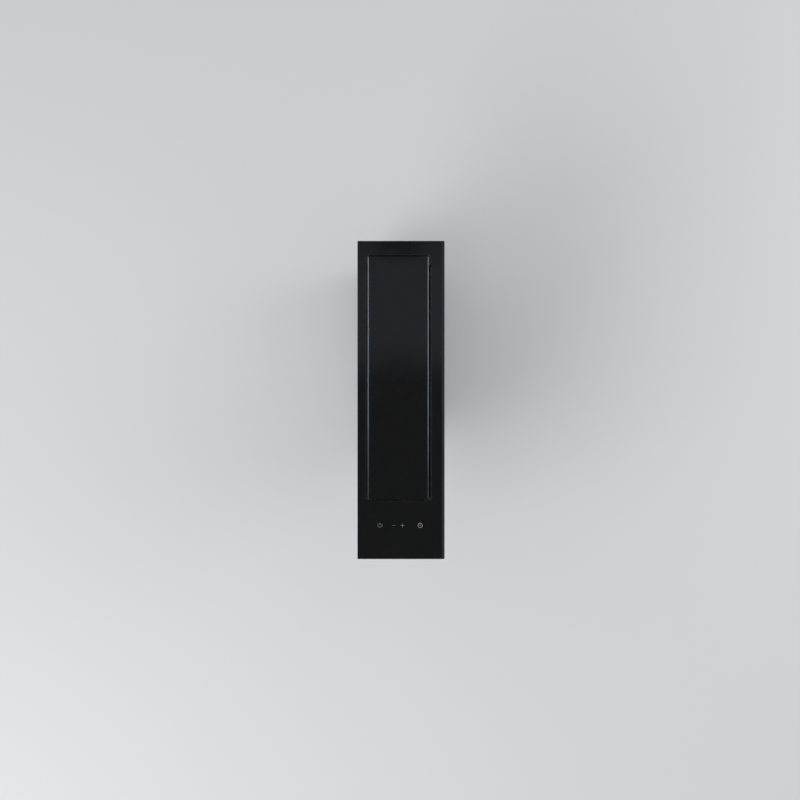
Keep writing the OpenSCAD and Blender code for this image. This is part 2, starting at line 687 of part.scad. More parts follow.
// Folded ledges along the inlet's sides and across its front, which carry the filters
rail_t = 1;
filter_x = opening_w / 2 - 0.8;
filter_y0 = opening_y0 + 0.8;
filter_y1 = house_low_back - sheet_t - 1.5;
filter_l = (filter_y1 - filter_y0 - 1) / 2;
ledge_in = filter_x - 6;
ledge_up = filter_x + 0.4;
module filter_rails() color(bright_steel) {
  for (side = [-1, 1])
    extrude_y(filter_y0 - 0.4, house_low_back - sheet_t - 0.5)
      polygon([for (p = [[box_in_x, filter_bottom + 12], [ledge_up, filter_bottom + 12],
          [ledge_up, filter_bottom], [ledge_in, filter_bottom], [ledge_in, filter_bottom - rail_t],
          [ledge_up + rail_t, filter_bottom - rail_t], [ledge_up + rail_t, filter_bottom + 12 - rail_t],
          [box_in_x, filter_bottom + 12 - rail_t]]) [side * p[0], p[1]]]);
  ledge_y = filter_y0 - 0.4;
  extrude_x(-box_in_x, box_in_x)
    polygon([[house_front + sheet_t, filter_bottom + 12], [ledge_y, filter_bottom + 12],
      [ledge_y, filter_bottom], [filter_y0 + 3, filter_bottom], [filter_y0 + 3, filter_bottom - rail_t],
      [ledge_y - rail_t, filter_bottom - rail_t], [ledge_y - rail_t, filter_bottom + 12 - rail_t],
      [house_front + sheet_t, filter_bottom + 12 - rail_t]]);
}

// Baffle filter cassette: a frame, channels facing down over channels facing up, and a grip
baffle_h = (filter_h - 4) / 2;
function channel(w, h, t) = [[-w / 2, h], [-w / 2, 0], [w / 2, 0], [w / 2, h], [w / 2 - t, h],
  [w / 2 - t, t], [-w / 2 + t, t], [-w / 2 + t, h]];

module filter_cassette(y0) {
  rows = floor((filter_l - 10) / baffle_pitch);
  mid = y0 + filter_l / 2;
  first = mid - (rows - 1) * baffle_pitch / 2;
  translate([0, mid, filter_bottom]) sheet_ring(2 * filter_x, filter_l, 1.5, sheet_t, filter_h);
  for (side = [-1, 1]) {
    edge = mid + side * (filter_l / 2 - 4);
    block([-filter_x + 1, edge - 3.8, filter_top - 1], [filter_x - 1, edge + 3.8, filter_top - touch]);
  }
  extrude_x(-filter_x + 0.6, filter_x - 0.6) {
    for (i = [0:rows - 1])
      translate([first + i * baffle_pitch, filter_top - 1]) mirror([0, 1])
        polygon(channel(baffle_w, baffle_h, baffle_t));
    for (i = [0:rows - 2])
      translate([first + (i + 0.5) * baffle_pitch, filter_bottom + 1])
        polygon(channel(baffle_w, baffle_h, baffle_t));
  }
  grip_y = first + floor(rows / 2) * baffle_pitch;
  for (x = [-20, 20]) bar_z(1.6, filter_top - 1.5, filter_top + grip_h - 1.6, x, grip_y);
  bar_x(1.6, -22, 22, grip_y, filter_top + grip_h - 1.6);
}
module filter_front() color(black_steel) filter_cassette(filter_y0);
module filter_rear() color(black_steel) filter_cassette(filter_y0 + filter_l + 1);

// Drive box and control box in front of the housing

module drive_box() color(zinc)
  difference() {
    block([-box_x, drive_front, drive_floor], [box_x, house_front, carrier_bottom]);
    block([-box_in_x, drive_front + sheet_t, drive_floor + sheet_t], [box_in_x, house_front + 1, 5]);
    bar_x(screw_r + hole_play, -box_x - 1, box_x + 1, frame_screw_y[0], frame_screw_z);
    for (side = [-1, 1], i = [0:4])
      block([side * box_x - 3, drive_front + 14 + i * 8, drive_floor + 16],
        [side * box_x + 3, drive_front + 18 + i * 8, drive_floor + 40]);
  }

control_top = drive_floor;
control_back = house_front - 0.3;
strip_x = -box_x + 27.2;                        // the box's front is closed up to here, then comes the lid
gland_x = (strip_x - box_x) / 2 + 0.6;
lid_mid = (strip_x + box_x) / 2 + 0.4;
gland_z = (control_top + floor_front_z) / 2;
gland_r = 8;
cable_r = 4.2;
lid_screw_x = [strip_x + 7, box_x - 6];
lid_screw_z = [floor_front_z + 8, control_top - 8];

module control_box() color(zinc)
  difference() {
    union() {
      difference() {
        block([-box_x, drive_front, floor_front_z], [box_x, control_back, control_top]);
        block([-box_in_x, drive_front + sheet_t, floor_front_z + sheet_t],
          [box_in_x, control_back - sheet_t, control_top - sheet_t]);
        block([strip_x, drive_front - 1, floor_front_z - 1],
          [box_x + 1, drive_front + sheet_t, control_top + 1]);
      }
      block([strip_x - 3, drive_front + sheet_t - touch, floor_front_z + 0.6],
        [strip_x, drive_front + 2 * sheet_t, control_top - 0.6]);
      block([strip_x - touch, drive_front + sheet_t, floor_front_z + 0.6],
        [strip_x + 12, drive_front + 2 * sheet_t, control_top - 0.6]);
      block([box_x - 12, drive_front + sheet_t, floor_front_z + 0.6],
        [box_x - 0.6, drive_front + 2 * sheet_t, control_top - 0.6]);
    }
    bar_y(gland_r + hole_play, drive_front - 1, drive_front + 5, gland_x, gland_z);
    for (x = lid_screw_x, z = lid_screw_z) bar_y(screw_r + hole_play, drive_front, drive_front + 5, x, z);
    for (side = [-1, 1], i = [0:4])
      block([side * box_x - 3, drive_front + 14 + i * 8, gland_z - 14],
        [side * box_x + 3, drive_front + 18 + i * 8, gland_z + 14]);
  }

module control_lid() color(zinc)
  difference() {
    block([strip_x + 0.3, drive_front, floor_front_z], [box_x, drive_front + sheet_t, control_top]);
    for (i = [-2:2])
      block([lid_mid + i * 11 - 2, drive_front - 1, gland_z - 16],
        [lid_mid + i * 11 + 2, drive_front + sheet_t + 1, gland_z + 16]);
    for (x = lid_screw_x, z = lid_screw_z) bar_y(screw_r + hole_play, drive_front - 1, drive_front + 3, x, z);
  }

// Main board on four pillars, with its transformer, relays, heat sink and terminals
module main_board() color(board_green) {
  y1 = control_back - sheet_t - 6;
  y0 = y1 - board_t;
  z0 = floor_front_z + 8;
  z1 = control_top - 8;
  block([-box_in_x + 8, y0, z0], [box_in_x - 8, y1, z1]);
  for (x = [-box_in_x + 13, box_in_x - 13], z = [z0 + 5, z1 - 5])
    bar_y(3, y1 - touch, control_back - sheet_t, x, z);
  block([-40, y0 - 22, z1 - 32], [-10, y0 + touch, z1 - 4]);
  block([-44, y0 - 18, z1 - 29], [-6, y0 - 4, z1 - 7]);
  for (x = [-2, 12, 26]) block([x, y0 - 14, z1 - 22], [x + 11, y0 + touch, z1 - 4]);
  for (i = [0:6]) block([4 + i * 5, y0 - 16, z0 + 4], [5.4 + i * 5, y0 + touch, z0 + 20]);
  block([4, y0 - 3, z0 + 4], [35.4, y0 + touch, z0 + 20]);
}

module run_capacitor() color(grey_plastic) {
  r = 12;
  y = drive_front + sheet_t + r + 3;
  z = floor_front_z + sheet_t + r + 0.3;
  bar_x(r, -34, 18, y, z);
  bar_x(4, 18 - touch, 24, y, z);
  block([-12, y - r - 0.6, floor_front_z + sheet_t], [-2, y + r + 0.6, z]);
}

// Cable gland for the mains lead: nut inside, hexagon and dome outside
module cable_gland() color(dark_plastic)
  difference() {
    union() {
      bar_y(gland_r, drive_front - 3, drive_front + sheet_t + 7, gland_x, gland_z);
      for (end = [[drive_front + sheet_t, 3.5], [drive_front - 5, 5]])
        translate([gland_x, end[0], gland_z]) rotate([-90, 30, 0]) cylinder(r = 11, h = end[1], $fn = 6);
      turn_y(gland_x, gland_z)
        polygon([[0, drive_front - 4.9], [9.2, drive_front - 4.9], [9.2, drive_front - 9],
          [8.2, drive_front - 11], [6.4, drive_front - 12], [0, drive_front - 12]]);
    }
    bar_y(cable_r, drive_front - 14, drive_front + sheet_t + 9, gland_x, gland_z);
  }

// Rails and tray under the drain

module tray_rails() color(zinc) {
  lip_x = tray_body_x + 0.8;
  rail_z = floor_front_z - rail_h;
  for (side = [-1, 1])
    extrude_y(tray_y0 + 2.3, tray_y1 + 1)
      polygon([for (p = [[rail_x, floor_front_z], [rail_x - sheet_t, floor_front_z], [rail_x - sheet_t, rail_z],
          [lip_x, rail_z], [lip_x, rail_z - rail_lip], [rail_x, rail_z - rail_lip]]) [side * p[0], p[1]]]);
}

module drip_tray() color(grey_plastic) {
  mid = (tray_y0 + tray_y1) / 2;
  low = tray_rim_z - tray_depth;
  difference() {
    union() {
      translate([0, mid, low]) rounded_slab(2 * tray_body_x, tray_l, 8, tray_depth + touch);
      translate([0, mid, tray_rim_z]) rounded_slab(2 * tray_rim_x, tray_l, 8, tray_rim_t);
      tray_front(low);
    }
    translate([0, mid, low + tray_wall])
      rounded_slab(2 * (tray_body_x - tray_wall), tray_l - 2 * tray_wall, 6, tray_depth + 5);
  }
}

// Front plate of the tray, with a lip to pull it by
module tray_front(low)
  translate([0, tray_y0, low]) extrude_x(-tray_rim_x, tray_rim_x)
    polygon([[2, 0], [2, tray_depth + tray_rim_t], [-3, tray_depth + tray_rim_t], [-3, 14], [-13, 10],
      [-13, 5], [-11, 5], [-11, 8.6], [-3, 11.8], [-3, 0]]);

// Chamber that leads the air from the plenum to the fan's inlet, at the left of the volute
module chamber_profile(r, half, low)
  hull() {
    translate([fan_y, fan_z]) circle(r);
    translate([fan_y - half, floor_z(fan_y) - low]) square([2 * half, 14]);
  }
// A round panel is pressed outwards in its outer wall, round the fan's axis
press_r = chamber_r - 17;
press_d = bead_h;
module inlet_chamber() color(zinc)
  difference() {
    union() {
      extrude_x(-box_x, chamber_x) chamber_profile(chamber_r, chamber_half, 6);
      bar_x(press_r, -box_x - press_d, -box_x + sheet_t, fan_y, fan_z);
    }
    extrude_x(-box_x + sheet_t, chamber_x - sheet_t)
      chamber_profile(chamber_r - sheet_t, chamber_half - sheet_t, 4);
    bar_x(press_r - sheet_t, -box_x - press_d + sheet_t, -box_x + sheet_t + 1, fan_y, fan_z);
    housing_solid(box_x + 1, housing_profile);
    bar_x(inlet_r + 9, chamber_x - 3, chamber_x + 1, fan_y, fan_z);
    for (a = blower_screw_angles)
      bar_x(screw_r + hole_play, chamber_x - 3, chamber_x + 1,
        on_ring(blower_screw_ring, a)[0], on_ring(blower_screw_ring, a)[1]);
  }

// Bell-mouth ring in the volute's inlet
module inlet_ring() color(dark_plastic)
  turn_x(fan_y, fan_z)
    difference() {
      polygon([[inlet_r + 8, volute_x0 - 2], [inlet_r + 8, volute_x0], [inlet_r - 0.3, volute_x0],
        [inlet_r - 0.3, volute_x0 + volute_wall + 1], [inlet_r - 3, volute_x0 + 10],
        [inlet_r - 5, volute_x0 + 10], [inlet_r - 5, volute_x0 - 2]]);
      translate([inlet_r + 1.5, volute_x0 + 5]) scroll_mouth();
    }
// The curve of the mouth, as a quarter of a round that the air follows
module scroll_mouth()
  difference() {
    translate([-8, -8]) square([8, 8]);
    circle(7);
  }

// Volute in two halves, split across the middle

scroll_line = concat(
  [for (a = [scroll_start:5:270]) [fan_y, fan_z] + scroll_r(a) * [cos(a), sin(a)]],
  [[outlet_y, outlet_z0], [outlet_y, outlet_z1]]);
boss_angles = [22, 60, 122, 172, 222];
boss_r = 5.6;
boss_l = 5;
boss_gap = 4.2;
function boss_at(a) = [fan_y, fan_z] + (scroll_r(a) + volute_wall + boss_gap) * [cos(a), sin(a)];
boss_points = concat([for (a = boss_angles) boss_at(a)],
  [[outlet_y - 18, outlet_z1 + volute_wall + boss_gap]]);
blower_screw_angles = [50, 130, 230, 310];
blower_screw_ring = chamber_r - 7.5;
function on_ring(r, a) = [fan_y + r * cos(a), fan_z + r * sin(a)];

// One half from x0 to x1, with its air space from a0 to a1 and its split lip from l0 to l1
module volute_half(x0, x1, a0, a1, l0, l1, b0, b1)
  difference() {
    union() {
      extrude_x(x0, x1) polygon(inset(scroll_line, -volute_wall));
      extrude_x(l0, l1) polygon(inset(scroll_line, -volute_wall - volute_lip));
      for (p = boss_points) bar_x(boss_r, b0, b1, p[0], p[1]);
    }
    extrude_x(a0, a1) polygon(scroll_line);
    block([a0, outlet_y - 5, outlet_z0], [a1, outlet_y + past, outlet_z1]);
    block([x0 - past, outlet_y, outlet_z0 - past], [x1 + past, outlet_y + past, outlet_z1 + past]);
    for (p = boss_points) bar_x(screw_r + hole_play, x0 - past, x1 + past, p[0], p[1]);
  }

module volute_inlet_half() color(grey_plastic)
  difference() {
    volute_half(volute_x0, split_x, volute_x0 + volute_wall, split_x + 1, split_x - 3, split_x,
      split_x - boss_l, split_x);
    bar_x(inlet_r, volute_x0 - 1, volute_x0 + volute_wall + 1, fan_y, fan_z);
    for (a = blower_screw_angles)
      bar_x(screw_r + hole_play, volute_x0 - 1, volute_x0 + volute_wall + 1,
        on_ring(blower_screw_ring, a)[0], on_ring(blower_screw_ring, a)[1]);
  }

// Ribs from the motor plate's rim to the edge of the scroll; the straps pass between them
rib_angles = [-10, 13, 36, 76, 90, 104, 168, 189, 210, 231, 252, 273];
rib_h = 2.2;
rib_t = 1.6;
module volute_ribs()
  for (a = rib_angles)
    translate([volute_x1 - touch, fan_y, fan_z]) rotate([a, 0, 0])
      translate([0, motor_plate_r + 2, -rib_t / 2])
        cube([rib_h + touch, scroll_r(a) - motor_plate_r - 4, rib_t]);

module volute_motor_half() color(grey_plastic) {
  volute_ribs();
  difference() {
    volute_half(split_x, volute_x1, split_x - 1, volute_x1 - volute_wall, split_x, split_x + 3,
      split_x, split_x + boss_l);
    bar_x(motor_hole_r, volute_x1 - volute_wall - 1, volute_x1 + 1, fan_y, fan_z);
    for (p = concat([for (a = mount_angles) on_ring(mount_r, a)], [for (y = strap_y) [y, strap_z[1]]]))
      bar_x(screw_r + hole_play, volute_x1 - volute_wall - 1, volute_x1 + 1, p[0], p[1]);
  }
}

// Impeller: curved blades between a shroud ring at the inlet and a back plate on the rotor can
impeller_x0 = volute_x0 + volute_wall + 3;
impeller_x1 = can_x1;
blade_in_r = inlet_r + 2;
blade_out_r = impeller_r - 0.6;
plate_t = 1.8;
function blade_arc(r0, r1, turn, n = 4) = [
  for (i = [0:n])
    let(f = i / n, r = r0 + (r1 - r0) * f, a = turn * f * f)
      r * [cos(a), sin(a)]];
function blade_outline() = let(p = blade_arc(blade_in_r, blade_out_r, 10)) concat(
  p, [for (i = [len(p) - 1:-1:0]) let(r = norm(p[i]), a = atan2(p[i][1], p[i][0])
    + blade_t / r * 180 / PI) r * [cos(a), sin(a)]]);

module impeller() color(dark_plastic) {
  translate([0, fan_y, fan_z]) extrude_x(impeller_x0 + 0.5, impeller_x1 - plate_t + touch)
    for (k = [0:blade_count - 1]) rotate(k * 360 / blade_count) polygon(blade_outline());
  turn_x(fan_y, fan_z) {
    translate([can_r, impeller_x1 - plate_t]) square([impeller_r - can_r, plate_t]);
    translate([can_r, impeller_x1 - 14]) square([2.4, 14]);
    translate([blade_in_r + 4, impeller_x0]) square([impeller_r - blade_in_r - 4, 2.2]);
  }
}

// Motor with its rotor outside: the can and the shaft turn, the stator stands on the plate's tube

module rotor_can() color(steel)
  turn_x(fan_y, fan_z)
    polygon([[motor_shaft_r, can_x0 - 4], [9, can_x0 - 4], [9, can_x0], [can_r - 6, can_x0],
      [can_r, can_x0 + 6], [can_r, can_x1], [can_r - can_wall, can_x1], [can_r - can_wall, can_x0 + 7],
      [can_r - 7, can_x0 + can_wall], [9, can_x0 + can_wall], [9, can_x0 + can_wall + 2],
      [motor_shaft_r, can_x0 + can_wall + 2]]);

module motor_shaft() color(bright_steel)
  bar_x(motor_shaft_r, can_x0 - 6, motor_plate_x - 1, fan_y, fan_z);

stator_r = can_r - can_wall - 1;
stator_x0 = can_x0 + 13;
stator_x1 = stator_x0 + 22;
tube_r = bearing_r + 3;
slot_count = 12;

module stator_section()
  difference() {
    circle(stator_r);
    circle(tube_r);
    for (k = [0:slot_count - 1]) rotate((k + 0.5) * 360 / slot_count) {
      polygon([[tube_r + 7, -2.2], [stator_r - 3, -7], [stator_r - 3, 7], [tube_r + 7, 2.2]]);
      translate([stator_r - 4, -1.4]) square([6, 2.8]);
    }
  }
module stator() color(steel) translate([0, fan_y, fan_z]) extrude_x(stator_x0, stator_x1) stator_section();

module windings() color(copper) {
  translate([0, fan_y, fan_z]) extrude_x(stator_x0 - 5, stator_x1 + 5)
    for (k = [0:slot_count - 1]) rotate((k + 0.5) * 360 / slot_count)
      polygon([[tube_r + 8, -1.9], [stator_r - 4, -6.2], [stator_r - 4, 6.2], [tube_r + 8, 1.9]]);
  for (x = [stator_x0 - 5, stator_x1 + 0.3])
    turn_x(fan_y, fan_z)
      polygon([[tube_r + 8, x], [stator_r - 5, x], [stator_r - 4, x + 1], [stator_r - 4, x + 4.7],
        [tube_r + 7, x + 4.7], [tube_r + 7, x + 1]]);
}

bearing_x = [can_x0 + can_wall + 4, motor_plate_x - bearing_w - 3];
module ball_bearings() color(bright_steel)
  for (x = bearing_x)
    turn_x(fan_y, fan_z) {
      difference() {
        translate([motor_shaft_r + running, x])
          square([bearing_r - motor_shaft_r - running - 0.02, bearing_w]);
        for (side = [x, x + bearing_w])
          translate([(motor_shaft_r + bearing_r) / 2, side]) square([3, 1.2], center = true);
      }
    }

module motor_plate() color(zinc)
  difference() {
    turn_x(fan_y, fan_z)
      polygon([[bearing_r, bearing_x[0] - 1], [tube_r - 0.02, bearing_x[0] - 1],
        [tube_r - 0.02, motor_plate_x - 4], [tube_r + 6, motor_plate_x], [motor_plate_r, motor_plate_x],
        [motor_plate_r, motor_plate_x + 2], [0, motor_plate_x + 2], [0, motor_plate_x],
        [bearing_r, motor_plate_x]]);
    for (a = mount_angles)
      bar_x(screw_r + hole_play, motor_plate_x - 1, motor_plate_x + 3,
        on_ring(mount_r, a)[0], on_ring(mount_r, a)[1]);
    for (k = [0:7]) bar_x(4.5, motor_plate_x - 1, motor_plate_x + 3,
      on_ring(36, k * 45 + 22.5)[0], on_ring(36, k * 45 + 22.5)[1]);
  }

module rubber_mounts() color(rubber_black)
  for (a = mount_angles)
    translate([0, on_ring(mount_r, a)[0], on_ring(mount_r, a)[1]]) turn_x(0, 0)
      translate([screw_r + hole_play, volute_x1]) square([6 - screw_r - hole_play, plate_gap]);

// Straps that hang the volute from the housing's right wall
module hanger_straps() color(zinc)
  for (y = strap_y) {
    joggle = floor_z(y - 8) - 0.5;
    difference() {
      extrude_y(y - 8, y + 8)
        polygon([[volute_x1, strap_z[1] - 9], [volute_x1 + sheet_t, strap_z[1] - 9],
          [volute_x1 + sheet_t, joggle - sheet_t], [box_x + sheet_t, joggle - sheet_t],
          [box_x + sheet_t, strap_z[0] + 8], [box_x, strap_z[0] + 8], [box_x, joggle], [volute_x1, joggle]]);
      bar_x(screw_r + hole_play, volute_x1 - 1, volute_x1 + 3, y, strap_z[1]);
      bar_x(screw_r + hole_play, box_x - 1, box_x + 3, y, strap_z[0]);
    }
  }

// Flat channel for the motor's wires, along the right wall from the control box
channel_d = 2.2;
channel_h = 14;
channel_y = [drive_front + 20, fan_y - motor_plate_r + 4];
channel_z = [fan_z + sqrt(pow(motor_plate_r, 2) - pow(fan_y - channel_y[1], 2)) + 1.5, floor_front_z + 26];
module channel_shape(t) {
  translate([channel_y[0] + t, channel_z[1] - channel_h + t])
    square([channel_y[1] - channel_y[0] - 2 * t, channel_h - 2 * t]);
  translate([channel_y[1] - channel_h + t, channel_z[0] + t])
    square([channel_h - 2 * t, channel_z[1] - channel_z[0] - 2 * t]);
}
module wiring_channel() color(dark_plastic)
  difference() {
    extrude_x(box_x, box_x + channel_d) channel_shape(0);
    extrude_x(box_x - 1, box_x + channel_d - 0.8) channel_shape(0.8);
  }

// Duct: adapter from the volute's square outlet to the round, spigot, pin and two leaves

adapter_rim = 1.5;      // straight rim at each end of the adapter
module adapter_form(t, over)
  hull() {
    block([volute_x0 + t, outlet_y - over, outlet_z0 - volute_wall + t],
      [volute_x1 - t, outlet_y + adapter_rim, outlet_z1 + volute_wall - t]);
    bar_y(spigot_r - t, spigot_y - adapter_rim, spigot_y + over, 0, spigot_z);
  }
module outlet_adapter() color(grey_plastic)
  difference() {
    adapter_form(0, 0);
    adapter_form(volute_wall, 1);
  }

module outlet_spigot() color(grey_plastic)
  difference() {
    turn_y(0, spigot_z)
      polygon([[spigot_in_r - 2.5, spigot_y], [spigot_flange_r, spigot_y],
        [spigot_flange_r, spigot_y + stop_t], [spigot_r, spigot_y + stop_t],
        [spigot_r, spigot_y + spigot_l], [spigot_in_r, spigot_y + spigot_l],
        [spigot_in_r, spigot_y + stop_t], [spigot_in_r - 2.5, spigot_y + stop_t]]);
    bar_z(damper_pin_r + 0.05, spigot_z - spigot_r - 1, spigot_z + spigot_r + 1, 0, damper_y);
  }

module damper_pin() color(bright_steel)
  bar_z(damper_pin_r, spigot_z - spigot_r + 0.4, spigot_z + spigot_r - 0.4, 0, damper_y);

// A leaf: half a disc with knuckles round the pin; side 1 is the right leaf, -1 the left
module damper_leaf(side, own, other) {
  leaf_y0 = damper_y - knuckle_r;
  difference() {
    union() {
      difference() {
        bar_y(spigot_in_r - 1, leaf_y0, leaf_y0 + leaf_t, 0, spigot_z);
        block([side > 0 ? -spigot_r : -0.6, leaf_y0 - 1, spigot_z - spigot_r],
          [side > 0 ? 0.6 : spigot_r, leaf_y0 + 3, spigot_z + spigot_r]);
        for (i = other)
          block([-knuckle_r - 0.6, leaf_y0 - 1, spigot_z + i * knuckle_pitch - knuckle_pitch / 2],
            [knuckle_r + 0.6, leaf_y0 + 3, spigot_z + i * knuckle_pitch + knuckle_pitch / 2]);
      }
      for (z = [for (i = own) spigot_z + i * knuckle_pitch])
        bar_z(knuckle_r, z - knuckle_w / 2, z + knuckle_w / 2, 0, damper_y);
    }
    bar_z(damper_pin_r + running, spigot_z - spigot_r, spigot_z + spigot_r, 0, damper_y);
    for (end = [[-spigot_r, -knuckle_end], [knuckle_end, spigot_r]])
      block([-4, leaf_y0 - 1, spigot_z + end[0]], [4, damper_y + 4, spigot_z + end[1]]);
  }
}
module damper_right() color(bright_steel) damper_leaf(1, [-2, 0, 2], [-1, 1]);
module damper_left() color(bright_steel) damper_leaf(-1, [-1, 1], [-2, 0, 2]);

// Clamps that swing out under the worktop, and the brackets that carry them

clamp_spots = [[-clamp_x, clamp_y_front, 1, 1], [clamp_x, clamp_y_front, -1, 1],
  [-clamp_x, clamp_y_rear, 1, -1], [clamp_x, clamp_y_rear, -1, -1]];

module clamp_brackets() color(zinc)
  for (c = clamp_spots) {
    wall = c[3] > 0 ? drive_front : house_low_back;
    leg = wall - c[3] * 1.5;
    out = wall - c[3] * (clamp_recess - 1);
    difference() {
      union() {
        block([c[0] - 8, min(out, wall), clamp_flange_z - 1.5], [c[0] + 8, max(out, wall), clamp_flange_z]);
        block([c[0] - 8, min(leg, wall), clamp_flange_z - 12], [c[0] + 8, max(leg, wall), clamp_flange_z]);
        translate([c[0], c[1], clamp_flange_z - touch]) cylinder(r = 4.4, h = 2.4, $fn = 6);
      }
      bar_z(clamp_screw_r + 0.02, clamp_flange_z - 3, clamp_flange_z + 4, c[0], c[1]);
    }
  }

// A clamp: arm along the wall, boss round its screw and a raised tip
module clamp(i) color(zinc) {
  c = clamp_spots[i];
  translate([c[0], c[1], clamp_z - clamp_t]) mirror([c[2] < 0 ? 1 : 0, 0, 0])
    difference() {
      union() {
        translate([0, -clamp_w / 2, 0]) cube([clamp_reach, clamp_w, clamp_t]);
        cylinder(r = clamp_w / 2, h = clamp_t);
        cylinder(r = 4.5, h = clamp_t + 6);
        translate([clamp_reach - clamp_t, -clamp_w / 2, 0]) cube([clamp_t, clamp_w, clamp_tip + clamp_t]);
        translate([clamp_reach - 6, -clamp_w / 2, clamp_tip]) cube([6, clamp_w, clamp_t]);
      }
      translate([0, 0, -1]) cylinder(r = clamp_screw_r + running, h = clamp_t + 8);
    }
}
module clamp_front_left() clamp(0);
module clamp_front_right() clamp(1);
module clamp_rear_left() clamp(2);
module clamp_rear_right() clamp(3);

// Screws, grouped by what they hold

module clamp_screws() color(bright_steel)
  for (c = clamp_spots)
    translate([c[0], c[1], clamp_z - clamp_t - 0.3]) rotate([180, 0, 0])
      screw(clamp_screw_r, clamp_flange_z - clamp_z + clamp_t + 2.5, 5, 3);

module frame_screws() color(bright_steel)
  for (y = frame_screw_y) {
    translate([body_x, y, frame_screw_z]) screw_out_right(screw_r, 4);
    translate([-body_x, y, frame_screw_z]) screw_out_left(screw_r, 4);
  }

module lid_screws() color(bright_steel)
  for (x = lid_screw_x, z = lid_screw_z) translate([x, drive_front, z]) screw_out_front(screw_r, 4);

module blower_screws() color(bright_steel) {
  for (a = blower_screw_angles)
    translate([chamber_x - sheet_t, on_ring(blower_screw_ring, a)[0], on_ring(blower_screw_ring, a)[1]])
      screw_out_left(screw_r, sheet_t + volute_wall + 1);
  for (a = mount_angles)
    translate([motor_plate_x + 2, on_ring(mount_r, a)[0], on_ring(mount_r, a)[1]])
      screw_out_right(screw_r, plate_gap + 2 + volute_wall);
  for (y = strap_y) {
    translate([volute_x1 + sheet_t, y, strap_z[1]]) screw_out_right(screw_r, sheet_t + volute_wall);
    translate([box_x + sheet_t, y, strap_z[0]]) screw_out_right(screw_r, 2 * sheet_t + 1);
  }
}

module volute_screws() color(bright_steel)
  for (p = boss_points) translate([split_x + boss_l, p[0], p[1]]) screw_out_right(screw_r, 2 * boss_l);

glass_frame();
seal_strip();
carrier_frame();
touch_board();
touch_holder();
flap_glass();
flap_carrier();
flap_shaft();
flap_rear_pin();
flap_gear();
front_bush();
rear_bush();
outboard_bush();
gear_motor();
drive_pinion();
motor_bracket();
limit_switch();
inlet_housing();
filter_rails();
filter_front();
filter_rear();
drain_spout();
drive_box();
control_box();
control_lid();
main_board();
run_capacitor();
cable_gland();
tray_rails();
drip_tray();
inlet_chamber();
inlet_ring();
volute_inlet_half();
volute_motor_half();
impeller();
rotor_can();
motor_shaft();
stator();
windings();
ball_bearings();
motor_plate();
rubber_mounts();
hanger_straps();
wiring_channel();
outlet_adapter();
outlet_spigot();
damper_pin();
damper_left();
damper_right();
clamp_brackets();
clamp_front_left();
clamp_front_right();
clamp_rear_left();
clamp_rear_right();
clamp_screws();
frame_screws();
lid_screws();
blower_screws();
volute_screws();
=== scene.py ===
import json
import math
import bpy
import bmesh
from mathutils import Matrix, Vector


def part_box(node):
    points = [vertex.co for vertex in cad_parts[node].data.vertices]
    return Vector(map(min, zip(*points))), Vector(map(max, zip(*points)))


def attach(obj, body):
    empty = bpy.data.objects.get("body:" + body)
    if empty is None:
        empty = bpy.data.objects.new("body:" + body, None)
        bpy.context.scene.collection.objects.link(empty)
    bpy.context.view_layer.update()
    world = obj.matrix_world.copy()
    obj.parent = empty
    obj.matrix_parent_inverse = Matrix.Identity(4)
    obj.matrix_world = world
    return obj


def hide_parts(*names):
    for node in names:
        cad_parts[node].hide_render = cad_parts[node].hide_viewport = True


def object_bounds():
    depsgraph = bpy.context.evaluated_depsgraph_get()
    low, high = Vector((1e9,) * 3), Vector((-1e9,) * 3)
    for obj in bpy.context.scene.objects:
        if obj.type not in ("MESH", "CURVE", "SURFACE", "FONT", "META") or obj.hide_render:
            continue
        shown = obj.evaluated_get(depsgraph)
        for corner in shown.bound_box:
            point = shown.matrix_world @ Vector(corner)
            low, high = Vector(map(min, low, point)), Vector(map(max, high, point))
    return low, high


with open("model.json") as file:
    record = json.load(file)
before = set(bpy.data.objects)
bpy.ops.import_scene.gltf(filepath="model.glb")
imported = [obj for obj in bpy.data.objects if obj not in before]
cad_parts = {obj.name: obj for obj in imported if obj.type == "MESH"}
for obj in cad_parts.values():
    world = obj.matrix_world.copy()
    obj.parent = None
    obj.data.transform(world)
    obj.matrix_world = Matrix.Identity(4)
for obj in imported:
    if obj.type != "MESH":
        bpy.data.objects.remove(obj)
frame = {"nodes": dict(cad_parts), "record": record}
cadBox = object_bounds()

scene = bpy.context.scene
cadNodes = frame["nodes"]
mm = 0.001
print("Range hood: frame loaded,", len(cadNodes), "nodes")


# Short ways to put shader nodes together

def connect(tree, node, inputs):
    # A socket is linked, and anything else becomes the input's own value
    for name, value in inputs.items():
        if isinstance(value, bpy.types.NodeSocket):
            tree.links.new(value, node.inputs[name])
        else:
            node.inputs[name].default_value = value


def put(tree, kind, inputs=None, **settings):
    node = tree.nodes.new("ShaderNode" + kind)
    for name, value in settings.items():
        setattr(node, name, value)
    connect(tree, node, inputs or {})
    return node


def surfacePlace(tree):
    return put(tree, "TexCoord").outputs["Object"]


def noise(tree, place, scale, **more):
    return put(tree, "TexNoise", {"Vector": place, "Scale": scale, **more}).outputs["Fac"]


def remap(tree, value, low, high, newLow, newHigh, smooth=False):
    node = put(tree, "MapRange", {"Value": value, "From Min": low, "From Max": high,
                                  "To Min": newLow, "To Max": newHigh},
               interpolation_type="SMOOTHSTEP" if smooth else "LINEAR")
    return node.outputs["Result"]


def calculate(tree, operation, first, second=0.0):
    return put(tree, "Math", {0: first, 1: second}, operation=operation).outputs[0]


def multiply(tree, first, second):
    return calculate(tree, "MULTIPLY", first, second)


